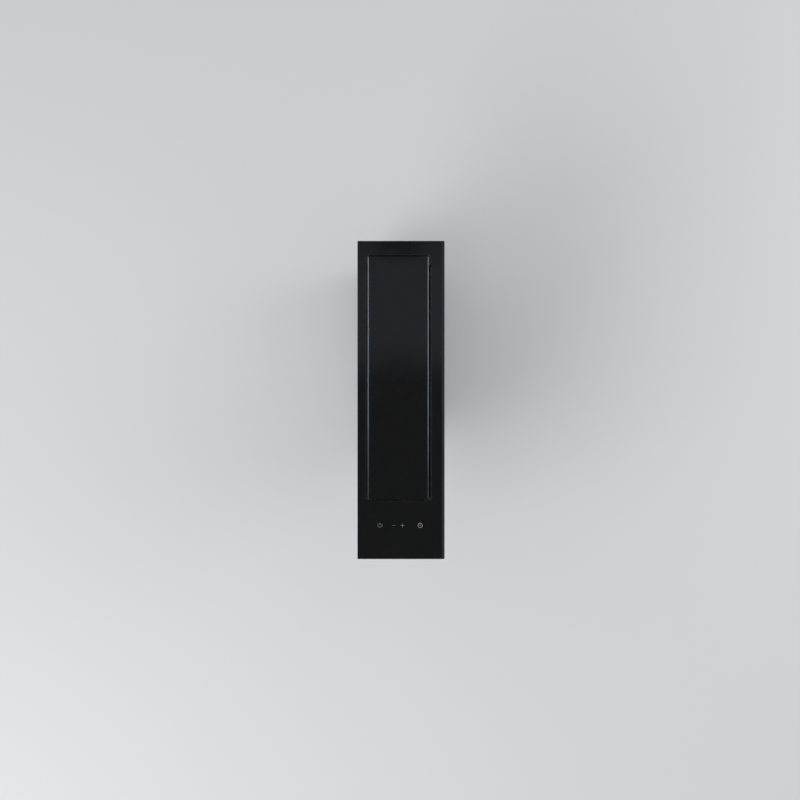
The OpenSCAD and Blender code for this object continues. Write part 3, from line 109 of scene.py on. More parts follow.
def vector(tree, operation, first, second=(0.0, 0.0, 0.0)):
    return put(tree, "VectorMath", {0: first, 1: second}, operation=operation).outputs[0]


def mixColours(tree, factor, first, second, blend="MIX"):
    return put(tree, "Mix", {0: factor, 6: first, 7: second}, data_type="RGBA", blend_type=blend).outputs[2]


def raised(tree, height, strength, distance, normal=None):
    # The normal of a surface that a pattern lifts, on top of another normal if there is one
    inputs = {"Height": height, "Strength": strength, "Distance": distance}
    if normal is not None:
        inputs["Normal"] = normal
    return put(tree, "Bump", inputs).outputs["Normal"]


def newGroup(name, inputs, outputs):
    tree = bpy.data.node_groups.new(name, "ShaderNodeTree")
    for label, kind, value in inputs:
        socket = tree.interface.new_socket(name=label, in_out="INPUT", socket_type="NodeSocket" + kind)
        socket.default_value = value
    for label, kind in outputs:
        tree.interface.new_socket(name=label, in_out="OUTPUT", socket_type="NodeSocket" + kind)
    return tree, tree.nodes.new("NodeGroupInput").outputs, tree.nodes.new("NodeGroupOutput").inputs


def useGroup(tree, group, **values):
    node = tree.nodes.new("ShaderNodeGroup")
    node.node_tree = group
    connect(tree, node, values)
    return node.outputs


def newMaterial(name, **values):
    material = bpy.data.materials.new(name)
    material.use_nodes = True
    tree = material.node_tree
    shader = tree.nodes["Principled BSDF"]
    for label, value in values.items():
        shader.inputs[label.replace("_", " ")].default_value = value
    return material, tree, shader


def feed(tree, shader, **sources):
    for label, source in sources.items():
        tree.links.new(source, shader.inputs[label.replace("_", " ")])


# Effects that several finishes share

noiseSpan = (0.3, 0.7)      # most of a noise's values lie between these
evenly = (1.0, 1.0, 1.0)    # a grain that no direction stretches


def fineGrainGroup():
    tree, given, result = newGroup(
        "fineGrain",
        [("Size", "Float", 0.001), ("Stretch", "Vector", evenly)],
        [("Shade", "Float"), ("Height", "Float")])
    scaled = vector(tree, "MULTIPLY", surfacePlace(tree), given["Stretch"])
    grain = noise(tree, scaled, calculate(tree, "DIVIDE", 1.0, given["Size"]), Detail=4.0, Roughness=0.6)
    tree.links.new(remap(tree, grain, *noiseSpan, 0.0, 1.0), result["Shade"])
    tree.links.new(grain, result["Height"])
    return tree


def wornEdgesGroup():
    # An edge is where the rounded normal leans from the plain one, told by the cosine between them
    wear = {"lean": (0.995, 0.86), "patchScale": 160.0, "patches": (0.35, 0.62), "leastWorn": 0.15}
    tree, given, result = newGroup(
        "wornEdges",
        [("Radius", "Float", 0.0005), ("Amount", "Float", 0.5)],
        [("Mask", "Float"), ("Normal", "Vector")])
    rounded = put(tree, "Bevel", {"Radius": given["Radius"]}, samples=4).outputs["Normal"]
    plain = put(tree, "NewGeometry").outputs["Normal"]
    same = put(tree, "VectorMath", {0: rounded, 1: plain}, operation="DOT_PRODUCT").outputs["Value"]
    edge = remap(tree, same, *wear["lean"], 0.0, 1.0)
    patches = noise(tree, surfacePlace(tree), wear["patchScale"], Detail=3.0)
    worn = multiply(tree, edge, remap(tree, patches, *wear["patches"], wear["leastWorn"], 1.0))
    tree.links.new(multiply(tree, worn, given["Amount"]), result["Mask"])
    tree.links.new(rounded, result["Normal"])
    return tree


def settledDustGroup():
    # Dust lies thickest on what faces up
    dust = {"facing": (-0.2, 1.0), "underneath": 0.25, "drifts": (0.42, 0.75)}
    tree, given, result = newGroup(
        "settledDust", [("Amount", "Float", 0.3), ("Size", "Float", 0.03)], [("Mask", "Float")])
    coordinates = put(tree, "TexCoord").outputs
    up = put(tree, "SeparateXYZ", {0: coordinates["Normal"]}).outputs["Z"]
    facing = remap(tree, up, *dust["facing"], dust["underneath"], 1.0)
    clouds = noise(tree, coordinates["Object"], calculate(tree, "DIVIDE", 1.0, given["Size"]),
                   Detail=8.0, Roughness=0.68)
    lying = multiply(tree, remap(tree, clouds, *dust["drifts"], 0.0, 1.0, smooth=True), facing)
    tree.links.new(multiply(tree, lying, given["Amount"]), result["Mask"])
    return tree


def handMarksGroup():
    # Smudges, broken up by the strokes of a cloth
    marks = {"strokes": (9.0, 2.0, 9.0), "smudges": (0.45, 0.7), "faintest": 0.3}
    tree, given, result = newGroup(
        "handMarks", [("Size", "Float", 0.04), ("Amount", "Float", 0.5)], [("Mask", "Float")])
    place = surfacePlace(tree)
    scale = calculate(tree, "DIVIDE", 1.0, given["Size"])
    smudges = noise(tree, place, scale, Detail=2.0, Distortion=1.6)
    strokes = noise(tree, vector(tree, "MULTIPLY", place, marks["strokes"]), scale, Detail=5.0)
    smear = multiply(tree, remap(tree, smudges, *marks["smudges"], 0.0, 1.0, smooth=True),
                     remap(tree, strokes, *noiseSpan, marks["faintest"], 1.0))
    tree.links.new(multiply(tree, smear, given["Amount"]), result["Mask"])
    return tree


fineGrain = fineGrainGroup()
wornEdges = wornEdgesGroup()
settledDust = settledDustGroup()
handMarks = handMarksGroup()
print("Range hood: shared effects ready")


# Finishes

greyDust = (0.42, 0.40, 0.37, 1)


def blackGlassFinish():
    # The bevels are ground, told by how far the surface turns from straight up
    look = {
        "body": (0.0042, 0.0043, 0.0047, 1), "groundEdge": (0.030, 0.032, 0.035, 1),
        "dust": (0.5, 0.5, 0.5, 1), "polish": 0.035, "smeared": 0.09,
        "ground": 0.32, "groundFrom": 0.82, "groundTo": 0.57}
    material, tree, shader = newMaterial("blackGlass", IOR=1.5)
    up = put(tree, "SeparateXYZ", {0: put(tree, "TexCoord").outputs["Normal"]}).outputs["Z"]
    side = remap(tree, up, look["groundFrom"], look["groundTo"], 0.0, 1.0)
    smear = useGroup(tree, handMarks, Size=0.07, Amount=1.0)["Mask"]
    dust = useGroup(tree, settledDust, Amount=0.004, Size=0.012)["Mask"]
    tone = mixColours(tree, side, look["body"], look["groundEdge"])
    tone = mixColours(tree, dust, tone, look["dust"])
    clean = remap(tree, smear, 0.0, 1.0, look["polish"], look["smeared"])
    rough = put(tree, "Mix", {0: side, 2: clean, 3: look["ground"]}, data_type="FLOAT").outputs[0]
    feed(tree, shader, Base_Color=tone, Roughness=rough)
    return material


def foamFinish():
    look = {"dark": (0.045, 0.045, 0.048, 1), "light": (0.10, 0.10, 0.105, 1), "cell": 0.9 * mm,
            "cellSpan": (0.1, 0.7)}
    material, tree, shader = newMaterial("foam", Roughness=0.92, IOR=1.4)
    pores = put(tree, "TexVoronoi", {"Vector": surfacePlace(tree), "Scale": 1 / look["cell"]})
    cells = pores.outputs["Distance"]
    tone = mixColours(tree, remap(tree, cells, *look["cellSpan"], 0.0, 1.0), look["dark"], look["light"])
    feed(tree, shader, Base_Color=tone, Normal=raised(tree, cells, strength=0.6, distance=0.3 * mm))
    return material


def brushedNormal(tree, look, normal):
    # Hairlines along the strip lean the surface to either side
    drawn = vector(tree, "MULTIPLY", surfacePlace(tree), look["hairStretch"])
    hair = noise(tree, drawn, 1 / look["hairline"], Detail=1.0)
    sideways = remap(tree, hair, *look["hairSpan"], -look["brushed"], look["brushed"])
    leaning = vector(tree, "ADD", normal, put(tree, "CombineXYZ", {"X": sideways}).outputs[0])
    return vector(tree, "NORMALIZE", leaning)


def brushedSteelFinish(name, look):
    material, tree, shader = newMaterial(name, Metallic=1.0)
    lines = useGroup(tree, fineGrain, Size=look["line"], Stretch=look["stretch"])
    edges = useGroup(tree, wornEdges, Radius=look["edge"], Amount=0.6)
    smear = useGroup(tree, handMarks, Size=0.05, Amount=0.8)["Mask"]
    tone = mixColours(tree, lines["Shade"], look["dark"], look["light"])
    tone = mixColours(tree, edges["Mask"], tone, look["bare"])
    rough = remap(tree, lines["Shade"], 0.0, 1.0, *look["rough"])
    rough = calculate(tree, "ADD", rough, multiply(tree, smear, look["smeared"]))
    normal = raised(tree, lines["Height"], look["bump"], distance=0.06 * mm, normal=edges["Normal"])
    if "brushed" in look:
        normal = brushedNormal(tree, look, normal)
    feed(tree, shader, Base_Color=tone, Roughness=rough, Normal=normal)
    return material


def zincSheetFinish():
    look = {
        "dark": (0.40, 0.42, 0.44, 1), "light": (0.58, 0.60, 0.62, 1), "cut": (0.72, 0.73, 0.74, 1),
        "dust": (0.46, 0.45, 0.43, 1), "spangle": 10 * mm, "bend": (0.004, 0.004, 0.004), "bendScale": 90.0,
        "facets": 0.62, "feather": 1.6 * mm, "rough": (0.30, 0.46)}
    material, tree, shader = newMaterial("zincSheet", Metallic=0.92)
    place = surfacePlace(tree)
    wander = put(tree, "TexNoise", {"Vector": place, "Scale": look["bendScale"], "Detail": 2.0})
    bent = put(tree, "VectorMath", {0: wander.outputs["Color"], 1: look["bend"], 2: place},
               operation="MULTIPLY_ADD").outputs[0]
    crystals = put(tree, "TexVoronoi", {"Vector": bent, "Scale": 1 / look["spangle"]})
    facet = put(tree, "SeparateColor", {0: crystals.outputs["Color"]}).outputs["Red"]
    feather = useGroup(tree, fineGrain, Size=look["feather"], Stretch=evenly)
    shade = calculate(tree, "ADD", multiply(tree, facet, look["facets"]),
                      multiply(tree, feather["Shade"], 1 - look["facets"]))
    edges = useGroup(tree, wornEdges, Radius=0.5 * mm, Amount=0.7)
    dust = useGroup(tree, settledDust, Amount=0.35, Size=0.05)["Mask"]
    tone = mixColours(tree, shade, look["dark"], look["light"])
    tone = mixColours(tree, edges["Mask"], tone, look["cut"])
    tone = mixColours(tree, dust, tone, look["dust"])
    rough = remap(tree, facet, 0.0, 1.0, *look["rough"])
    rough = calculate(tree, "ADD", rough, multiply(tree, dust, 0.4))
    normal = raised(tree, feather["Height"], strength=0.22, distance=0.1 * mm, normal=edges["Normal"])
    feed(tree, shader, Base_Color=tone, Roughness=rough, Normal=normal)
    return material


def platedSteelFinish():
    # Small stampings, zinc plated after bending: no spangle, and a faint tint from the passivation
    look = {
        "steel": (0.50, 0.52, 0.54, 1), "blue": (0.44, 0.49, 0.58, 1), "straw": (0.60, 0.57, 0.47, 1),
        "bare": (0.70, 0.71, 0.72, 1), "cloud": 12 * mm, "grain": 0.5 * mm, "rough": (0.23, 0.33),
        "blueBelow": 0.5, "strawFrom": 0.6, "strawMost": 0.6}
    material, tree, shader = newMaterial("platedSteel", Metallic=1.0)
    cloud = useGroup(tree, fineGrain, Size=look["cloud"], Stretch=evenly)["Shade"]
    grain = useGroup(tree, fineGrain, Size=look["grain"], Stretch=evenly)
    edges = useGroup(tree, wornEdges, Radius=0.4 * mm, Amount=0.6)
    dust = useGroup(tree, settledDust, Amount=0.2, Size=0.03)["Mask"]
    tone = mixColours(tree, remap(tree, cloud, 0.0, look["blueBelow"], 1.0, 0.0), look["steel"], look["blue"])
    tinted = remap(tree, cloud, look["strawFrom"], 1.0, 0.0, look["strawMost"])
    tone = mixColours(tree, tinted, tone, look["straw"])
    tone = mixColours(tree, edges["Mask"], tone, look["bare"])
    tone = mixColours(tree, dust, tone, greyDust)
    rough = remap(tree, grain["Shade"], 0.0, 1.0, *look["rough"])
    rough = calculate(tree, "ADD", rough, multiply(tree, dust, 0.5))
    normal = raised(tree, grain["Height"], strength=0.12, distance=0.06 * mm, normal=edges["Normal"])
    feed(tree, shader, Base_Color=tone, Roughness=rough, Normal=normal)
    return material


def mouldedFinish(name, look):
    material, tree, shader = newMaterial(name, IOR=1.46)
    grain = useGroup(tree, fineGrain, Size=look["grain"], Stretch=evenly)
    flow = useGroup(tree, fineGrain, Size=0.03, Stretch=(1.0, 0.4, 1.0))
    edges = useGroup(tree, wornEdges, Radius=look["edge"], Amount=0.45)
    dust = useGroup(tree, settledDust, Amount=look["dusty"], Size=0.03)["Mask"]
    shade = calculate(tree, "ADD", multiply(tree, grain["Shade"], 0.5), multiply(tree, flow["Shade"], 0.5))
    tone = mixColours(tree, shade, look["dark"], look["light"])
    tone = mixColours(tree, edges["Mask"], tone, look["rubbed"])
    tone = mixColours(tree, dust, tone, greyDust)
    rough = remap(tree, flow["Shade"], 0.0, 1.0, *look["rough"])
    normal = raised(tree, grain["Height"], look["bump"], distance=0.1 * mm, normal=edges["Normal"])
    feed(tree, shader, Base_Color=tone, Roughness=rough, Normal=normal)
    return material


def turnedSteelFinish():
    # Fine rings round the motor's axis, as the lathe leaves them
    look = {"dark": (0.33, 0.34, 0.35, 1), "light": (0.50, 0.51, 0.52, 1), "ring": 0.5 * mm,
            "rough": (0.41, 0.29)}
    low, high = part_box("motor_shaft")
    axis = (0.0, (low.y + high.y) / 2, (low.z + high.z) / 2)
    material, tree, shader = newMaterial("turnedSteel", Metallic=1.0)
    place = surfacePlace(tree)
    flat = vector(tree, "MULTIPLY", vector(tree, "SUBTRACT", place, axis), (0.0, 1.0, 1.0))
    radius = put(tree, "VectorMath", {0: flat}, operation="LENGTH").outputs["Value"]
    along = put(tree, "SeparateXYZ", {0: place}).outputs["X"]
    rings = put(tree, "TexNoise", {"W": calculate(tree, "ADD", radius, along), "Scale": 1 / look["ring"],
                                   "Detail": 3.0}, noise_dimensions="1D").outputs["Fac"]
    edges = useGroup(tree, wornEdges, Radius=0.6 * mm, Amount=0.5)
    tone = mixColours(tree, remap(tree, rings, *noiseSpan, 0.0, 1.0), look["dark"], look["light"])
    rough = remap(tree, rings, *noiseSpan, *look["rough"])
    normal = raised(tree, rings, strength=0.2, distance=0.08 * mm, normal=edges["Normal"])
    feed(tree, shader, Base_Color=tone, Roughness=rough, Normal=normal)
    return material


def boardFinish():
    look = {"mask": (0.012, 0.085, 0.042, 1), "track": (0.020, 0.135, 0.066, 1), "pitch": 4.2 * mm}
    material, tree, shader = newMaterial("circuitBoard", Roughness=0.3, IOR=1.5)
    tracks = put(tree, "TexBrick", {
        "Vector": surfacePlace(tree), "Scale": 1 / look["pitch"], "Color1": (0, 0, 0, 1),
        "Color2": (0.4, 0.4, 0.4, 1), "Mortar": (1, 1, 1, 1), "Mortar Size": 0.06}).outputs
    tone = mixColours(tree, tracks["Color"], look["mask"], look["track"])
    feed(tree, shader, Base_Color=tone, Normal=raised(tree, tracks["Fac"], strength=0.3, distance=0.05 * mm))
    return material


def copperFinish():
    look = {"dark": (0.32, 0.11, 0.045, 1), "light": (0.62, 0.27, 0.12, 1), "wire": 0.7 * mm,
            "rough": (0.45, 0.28)}
    bandWidth = 0.3    # about one band of a wave texture at a scale of 1
    material, tree, shader = newMaterial(
        "enamelledCopper", Metallic=0.85, Coat_Weight=0.6, Coat_Roughness=0.12)
    wires = put(tree, "TexWave", {
        "Vector": surfacePlace(tree), "Scale": bandWidth / look["wire"], "Distortion": 1.2, "Detail": 1.0},
        bands_direction="DIAGONAL").outputs["Fac"]
    tone = mixColours(tree, wires, look["dark"], look["light"])
    rough = remap(tree, wires, 0.0, 1.0, *look["rough"])
    normal = raised(tree, wires, strength=0.7, distance=0.3 * mm)
    feed(tree, shader, Base_Color=tone, Roughness=rough, Normal=normal)
    return material


def printFinish():
    look = {"thin": (0.25, 0.255, 0.265, 1), "full": (0.38, 0.385, 0.395, 1)}
    material, tree, shader = newMaterial("printedMark", Roughness=0.25, IOR=1.5)
    ink = useGroup(tree, fineGrain, Size=0.4 * mm, Stretch=evenly)["Shade"]
    feed(tree, shader, Base_Color=mixColours(tree, ink, look["thin"], look["full"]))
    return material


brightSteelLook = {
    "dark": (0.35, 0.36, 0.37, 1), "light": (0.45, 0.46, 0.47, 1), "bare": (0.54, 0.55, 0.56, 1),
    "line": 1.1 * mm, "stretch": (1.0, 0.05, 1.0), "rough": (0.13, 0.04), "smeared": 0.03, "edge": 0.06 * mm,
    "bump": 0.05}
stripLook = {
    **brightSteelLook,
    "dark": (0.355, 0.345, 0.343, 1), "light": (0.45, 0.44, 0.435, 1), "bare": (0.54, 0.54, 0.54, 1),
    "brushed": 0.12, "hairline": 0.3 * mm, "hairStretch": (1.0, 0.01, 1.0), "hairSpan": (0.34, 0.66)}
finishes = {
    "black_glass": blackGlassFinish(),
    "foam": foamFinish(),
    "pressed_steel": brushedSteelFinish("pressedSteel", {
        "dark": (0.36, 0.37, 0.38, 1), "light": (0.50, 0.51, 0.52, 1), "bare": (0.62, 0.63, 0.64, 1),
        "line": 1.6 * mm, "stretch": (1.0, 0.12, 1.0), "rough": (0.41, 0.32), "smeared": 0.09,
        "edge": 0.5 * mm, "bump": 0.18}),
    "bright_steel": brushedSteelFinish("brightSteel", brightSteelLook),
    "black_steel": mouldedFinish("blackCoating", {
        "dark": (0.006, 0.006, 0.0065, 1), "light": (0.012, 0.012, 0.0125, 1),
        "rubbed": (0.05, 0.05, 0.052, 1),
        "grain": 0.6 * mm, "rough": (0.50, 0.61), "edge": 0.4 * mm, "bump": 0.3, "dusty": 0.05}),
    "zinc_sheet": zincSheetFinish(),
    "dark_plastic": mouldedFinish("darkPlastic", {
        "dark": (0.012, 0.012, 0.013, 1), "light": (0.024, 0.024, 0.026, 1), "rubbed": (0.07, 0.07, 0.072, 1),
        "grain": 0.7 * mm, "rough": (0.39, 0.50), "edge": 0.5 * mm, "bump": 0.25, "dusty": 0.10}),
    "grey_plastic": mouldedFinish("greyPlastic", {
        "dark": (0.095, 0.10, 0.107, 1), "light": (0.14, 0.146, 0.155, 1), "rubbed": (0.27, 0.275, 0.285, 1),
        "grain": 0.8 * mm, "rough": (0.37, 0.48), "edge": 0.6 * mm, "bump": 0.22, "dusty": 0.18}),
    "circuit_board": boardFinish(),
    "copper_wire": copperFinish(),
    "white_nylon": mouldedFinish("whiteNylon", {
        "dark": (0.60, 0.59, 0.55, 1), "light": (0.72, 0.71, 0.67, 1), "rubbed": (0.80, 0.79, 0.76, 1),
        "grain": 0.5 * mm, "rough": (0.33, 0.44), "edge": 0.3 * mm, "bump": 0.12, "dusty": 0.08}),
    "rubber_black": mouldedFinish("blackRubber", {
        "dark": (0.010, 0.010, 0.010, 1), "light": (0.020, 0.020, 0.020, 1), "rubbed": (0.05, 0.05, 0.05, 1),
        "grain": 0.5 * mm, "rough": (0.63, 0.74), "edge": 0.4 * mm, "bump": 0.3, "dusty": 0.22}),
    "motor_steel": turnedSteelFinish(),
}
printedMark = printFinish()
platedSteel = platedSteelFinish()
brushedStrip = brushedSteelFinish("brushedStrip", stripLook)


def dressFrame():
    # A node's finish comes from its slot, but for the plated stampings and the flap's bright strips
    slotOf = {part["node"]: part["material_slot"] for part in frame["record"]["subparts"]}
    stampings = [
        "clamp_brackets", "clamp_front_left", "clamp_front_right", "clamp_rear_left", "clamp_rear_right",
        "hanger_straps", "motor_bracket", "filter_rails", "damper_left", "damper_right"]
    own = {name: platedSteel for name in stampings}
    own["flap_carrier"] = brushedStrip
    for name, node in cadNodes.items():
        node.data.materials.clear()
        node.data.materials.append(own.get(name, finishes[slotOf[name]]))


dressFrame()
print("Range hood: finishes on", len(cadNodes), "nodes")


# Pieces that only the looks need

def makeObject(name, shape):
    mesh = bpy.data.meshes.new(name)
    shape.to_mesh(mesh)
    shape.free()
    made = bpy.data.objects.new(name, mesh)
    scene.collection.objects.link(made)
    return made


def newPiece(name, shape, finish, body):
    piece = makeObject(name, shape)
    piece.data.materials.append(finish)
    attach(piece, body)
    return piece


def addPrism(shape, lowOutline, highOutline):
    # Two caps with walls between them, each outline given counterclockwise from above
    low = [shape.verts.new(point) for point in lowOutline]
    high = [shape.verts.new(point) for point in highOutline]
    shape.faces.new(list(reversed(low)))
    shape.faces.new(high)
    for i in range(len(low)):
        j = (i + 1) % len(low)
        shape.faces.new((low[i], low[j], high[j], high[i]))


def addPlate(shape, outline, bottom, top):
    addPrism(shape, [(x, y, bottom) for x, y in outline], [(x, y, top) for x, y in outline])


def onCircle(centre, radius, angle):
    return centre[0] + radius * math.cos(angle), centre[1] + radius * math.sin(angle)


def addArc(shape, centre, radius, stroke, start, end, bottom, top):
    # Part of a ring, from one angle to another, in degrees
    degreesPerStep = 6
    steps = int(abs(end - start) / degreesPerStep)
    turns = [math.radians(start + (end - start) * i / steps) for i in range(steps + 1)]
    outer = [onCircle(centre, radius + stroke / 2, a) for a in turns]
    inner = [onCircle(centre, radius - stroke / 2, a) for a in turns]
    for i in range(steps):
        addPlate(shape, [inner[i], outer[i], outer[i + 1], inner[i + 1]], bottom, top)


def addBar(shape, first, second, stroke, bottom, top):
    first, second = Vector(first), Vector(second)
    along = (second - first).normalized()
    across = Vector((-along.y, along.x)) * stroke / 2
    corners = [first - across, second - across, second + across, first + across]
    addPlate(shape, [tuple(c) for c in corners], bottom, top)


def keyMarks():
    marks = {
        "keyY": 55.0 * mm, "keyX": (-30.75 * mm, -8.3 * mm, 6.1 * mm, 35.05 * mm),
        "lift": 0.02 * mm, "ink": 0.03 * mm,
        "powerRadius": 3.5 * mm, "powerRise": 0.5 * mm, "powerStroke": 0.41 * mm, "powerGap": 52,
        "powerBar": (0.9 * mm, 4.4 * mm), "powerBarStroke": 0.7 * mm,
        "minusWidth": 4.8 * mm, "minusStroke": 0.30 * mm, "plusWidth": 6.8 * mm, "plusStroke": 0.42 * mm,
        "timerRadius": 3.5 * mm, "timerStroke": 0.8 * mm, "timerGap": (94, 128),
        "arrowHead": ((-1.8 * mm, 0.0), (0.3 * mm, -1.65 * mm), (0.6 * mm, 1.65 * mm)),
        "timerHand": 2.0 * mm, "shortHand": 0.7, "handStroke": 0.64 * mm}
    low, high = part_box("glass_frame")
    bottom = high.z + marks["lift"]
    top = bottom + marks["ink"]
    y = low.y + marks["keyY"]
    power, minus, plus, timer = marks["keyX"]
    shape = bmesh.new()
    addArc(shape, (power, y + marks["powerRise"]), marks["powerRadius"], marks["powerStroke"],
           90 + marks["powerGap"], 450 - marks["powerGap"], bottom, top)
    addBar(shape, (power, y + marks["powerBar"][0]), (power, y + marks["powerBar"][1]),
           marks["powerBarStroke"], bottom, top)
    half = marks["minusWidth"] / 2
    addBar(shape, (minus - half, y), (minus + half, y), marks["minusStroke"], bottom, top)
    half = marks["plusWidth"] / 2
    stroke = marks["plusStroke"]
    addBar(shape, (plus - half, y), (plus + half, y), stroke, bottom, top)
    addBar(shape, (plus, y + stroke / 2), (plus, y + half), stroke, bottom, top)
    addBar(shape, (plus, y - half), (plus, y - stroke / 2), stroke, bottom, top)
    first, last = marks["timerGap"]
    addArc(shape, (timer, y), marks["timerRadius"], marks["timerStroke"], last, 360 + first, bottom, top)
    tip = onCircle((timer, y), marks["timerRadius"], math.radians(first))
    addPlate(shape, [(tip[0] + x, tip[1] + rise) for x, rise in marks["arrowHead"]], bottom, top)
    hand = marks["timerHand"] * math.sqrt(0.5)
    addBar(shape, (timer - hand, y + hand), (timer, y), marks["handStroke"], bottom, top)
    addBar(shape, (timer, y), (timer + hand * marks["shortHand"], y), marks["handStroke"], bottom, top)
    newPiece("key_marks", shape, printedMark, "housing")


keyMarks()
print("Range hood: key marks printed")


# Cross-head screws in the places of the plain ones

screwLook = {
    "underEdge": (0.96, 0.12), "dome": 0.35, "domeSteps": 6, "headSides": 32, "recess": 0.621, "slot": 0.17,
    "recessFloor": (0.62, 0.38), "recessMouth": (1.25, 1.4),  # share of the cross, share of the head's height
    "pitch": 0.9 * mm, "thread": 0.12, "threadSides": 16, "coreFit": 0.99,
    "pointRadius": 0.7, "pointFrom": 0.94, "headEdge": 0.95, "sameEnd": 0.3 * mm, "turnBy": 37}
samePoint = 0.001 * mm
onAxis = 0.01 * mm


def separateSolids(node):
    # The points of each solid in a node, with its doubled corners joined
    shape = bmesh.new()
    shape.from_mesh(cadNodes[node].data)
    bmesh.ops.remove_doubles(shape, verts=shape.verts, dist=samePoint)
    solids, seen = [], set()
    for start in shape.verts:
        if start in seen:
            continue
        seen.add(start)
        waiting, points = [start], []
        while waiting:
            corner = waiting.pop()
            points.append(corner.co.copy())
            for edge in corner.link_edges:
                other = edge.other_vert(corner)
                if other not in seen:
                    seen.add(other)
                    waiting.append(other)
        solids.append(points)
    shape.free()
    return solids


def lathe(shape, profile, segments, matrix):
    # Turns a profile of (radius, height) pairs about Z
    turns = [2 * math.pi * k / segments for k in range(segments)]
    rings = []
    for radius, height in profile:
        if radius < onAxis:
            points = [(0, 0, height)]
        else:
            points = [(radius * math.cos(a), radius * math.sin(a), height) for a in turns]
        rings.append([shape.verts.new(matrix @ Vector(point)) for point in points])
    for lower, upper in zip(rings, rings[1:]):
        for k in range(segments):
            n = (k + 1) % segments
            if len(lower) == 1:
                face = shape.faces.new((lower[0], upper[n], upper[k]))
            elif len(upper) == 1:
                face = shape.faces.new((lower[k], lower[n], upper[0]))
            else:
                face = shape.faces.new((lower[k], lower[n], upper[n], upper[k]))
            face.smooth = True


def screwHead(radius, height):
    # Pan head with a cross recess, its underside at zero
    look = screwLook
    shape = bmesh.new()
    wall = height * (1 - look["dome"])
    quarter = [math.pi / 2 * k / look["domeSteps"] for k in range(look["domeSteps"] + 1)]
    crown = [(radius * math.cos(a), wall + height * look["dome"] * math.sin(a)) for a in quarter]
    foot = [(0, 0), (radius * look["underEdge"][0], 0), (radius, height * look["underEdge"][1])]
    lathe(shape, foot + crown, look["headSides"], Matrix.Identity(4))
    bmesh.ops.recalc_face_normals(shape, faces=shape.faces)
    blank = makeObject("screwHeadBlank", shape)
    cutter = bmesh.new()
    reach, half = radius * look["recess"], radius * look["slot"]
    cross = [(half, half), (half, reach), (-half, reach), (-half, half), (-reach, half), (-reach, -half),
             (-half, -half), (-half, -reach), (half, -reach), (half, -half), (reach, -half), (reach, half)]
    floor, mouth = ([(x * share, y * share, height * rise) for x, y in cross]
                    for share, rise in (look["recessFloor"], look["recessMouth"]))
    addPrism(cutter, floor, mouth)
    knife = makeObject("screwRecess", cutter)
    cut = blank.modifiers.new("recess", "BOOLEAN")
    cut.operation, cut.object, cut.solver = "DIFFERENCE", knife, "EXACT"
    bpy.context.view_layer.update()
    finished = bpy.data.meshes.new_from_object(blank.evaluated_get(bpy.context.evaluated_depsgraph_get()))
    for made in (blank, knife):
        bpy.data.objects.remove(made)
    return finished


def addThread(shape, radius, length, matrix):
    # A shank whose thread climbs in one helix, below zero
    look = screwLook
    pitch, segments = look["pitch"], look["threadSides"]
    core = radius * (1 - look["thread"])
    turns = max(1, int((length - pitch) / pitch))
    rows = [(core, 0.0), (core, 0.35), (radius, 0.6), (radius, 0.75)]  # radius and share of the pitch
    columns = []
    for k in range(turns * segments + 1):
        a = 2 * math.pi * k / segments
        base = -pitch * k / segments
        columns.append([shape.verts.new(matrix @ Vector((r * math.cos(a), r * math.sin(a), base - f * pitch)))
                        for r, f in rows])
    for k in range(len(columns) - 1):
        here, after = columns[k], columns[k + 1]
        for i in range(len(rows) - 1):
            shape.faces.new((here[i], here[i + 1], after[i + 1], after[i])).smooth = True
        if k + segments + 1 < len(columns):
            below, belowAfter = columns[k + segments], columns[k + segments + 1]
            shape.faces.new((here[-1], below[0], belowAfter[0], after[-1])).smooth = True
    rod = core * look["coreFit"]
    point = [(rod, -length * look["pointFrom"]), (core * look["pointRadius"], -length), (0, -length)]
    lathe(shape, [(rod, 0)] + point, segments, matrix)


def measureScrew(points, index):
    # Head and shank of one plain screw, from its points and the number of its axis
    across = [i for i in range(3) if i != index]
    low = Vector(min(p[i] for p in points) for i in range(3))
    high = Vector(max(p[i] for p in points) for i in range(3))
    middle = (low + high) / 2
    reach = [math.hypot(*(p[i] - middle[i] for i in across)) for p in points]
    headRadius = max(reach)
    onHead = [p[index] for p, r in zip(points, reach) if r > headRadius * screwLook["headEdge"]]
    headLow, headHigh = min(onHead), max(onHead)
    forward = high[index] - headHigh < headLow - low[index]
    seat, tip = (headLow, low[index]) if forward else (headHigh, high[index])
    shankRadius = max(r for p, r in zip(points, reach) if abs(p[index] - tip) < screwLook["sameEnd"])
    place = middle.copy()
    place[index] = seat
    return place, forward, headRadius, headHigh - headLow, shankRadius, abs(seat - tip)


def crossHeadScrews(node, axis, slot):
    upright = {"X": Matrix.Rotation(math.pi / 2, 4, "Y"), "Y": Matrix.Rotation(-math.pi / 2, 4, "X")}[axis]
    over = Matrix.Rotation(math.pi, 4, "X" if axis == "Y" else "Y")
    shape = bmesh.new()
    heads = {}
    for count, points in enumerate(separateSolids(node)):
        place, forward, headRadius, height, shankRadius, length = measureScrew(points, "XYZ".index(axis))
        key = (round(headRadius, 5), round(height, 5))
        if key not in heads:
            heads[key] = screwHead(headRadius, height)
        spin = Matrix.Rotation(math.radians(screwLook["turnBy"] * count % 90), 4, "Z")
        facing = upright if forward else over @ upright
        matrix = Matrix.Translation(place) @ facing @ spin
        before = len(shape.verts)
        shape.from_mesh(heads[key])
        shape.verts.ensure_lookup_table()
        for corner in shape.verts[before:]:
            corner.co = matrix @ corner.co
        addThread(shape, shankRadius, length, matrix)
    piece = newPiece(node + "_threaded", shape, finishes[slot], "housing")
    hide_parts(node)


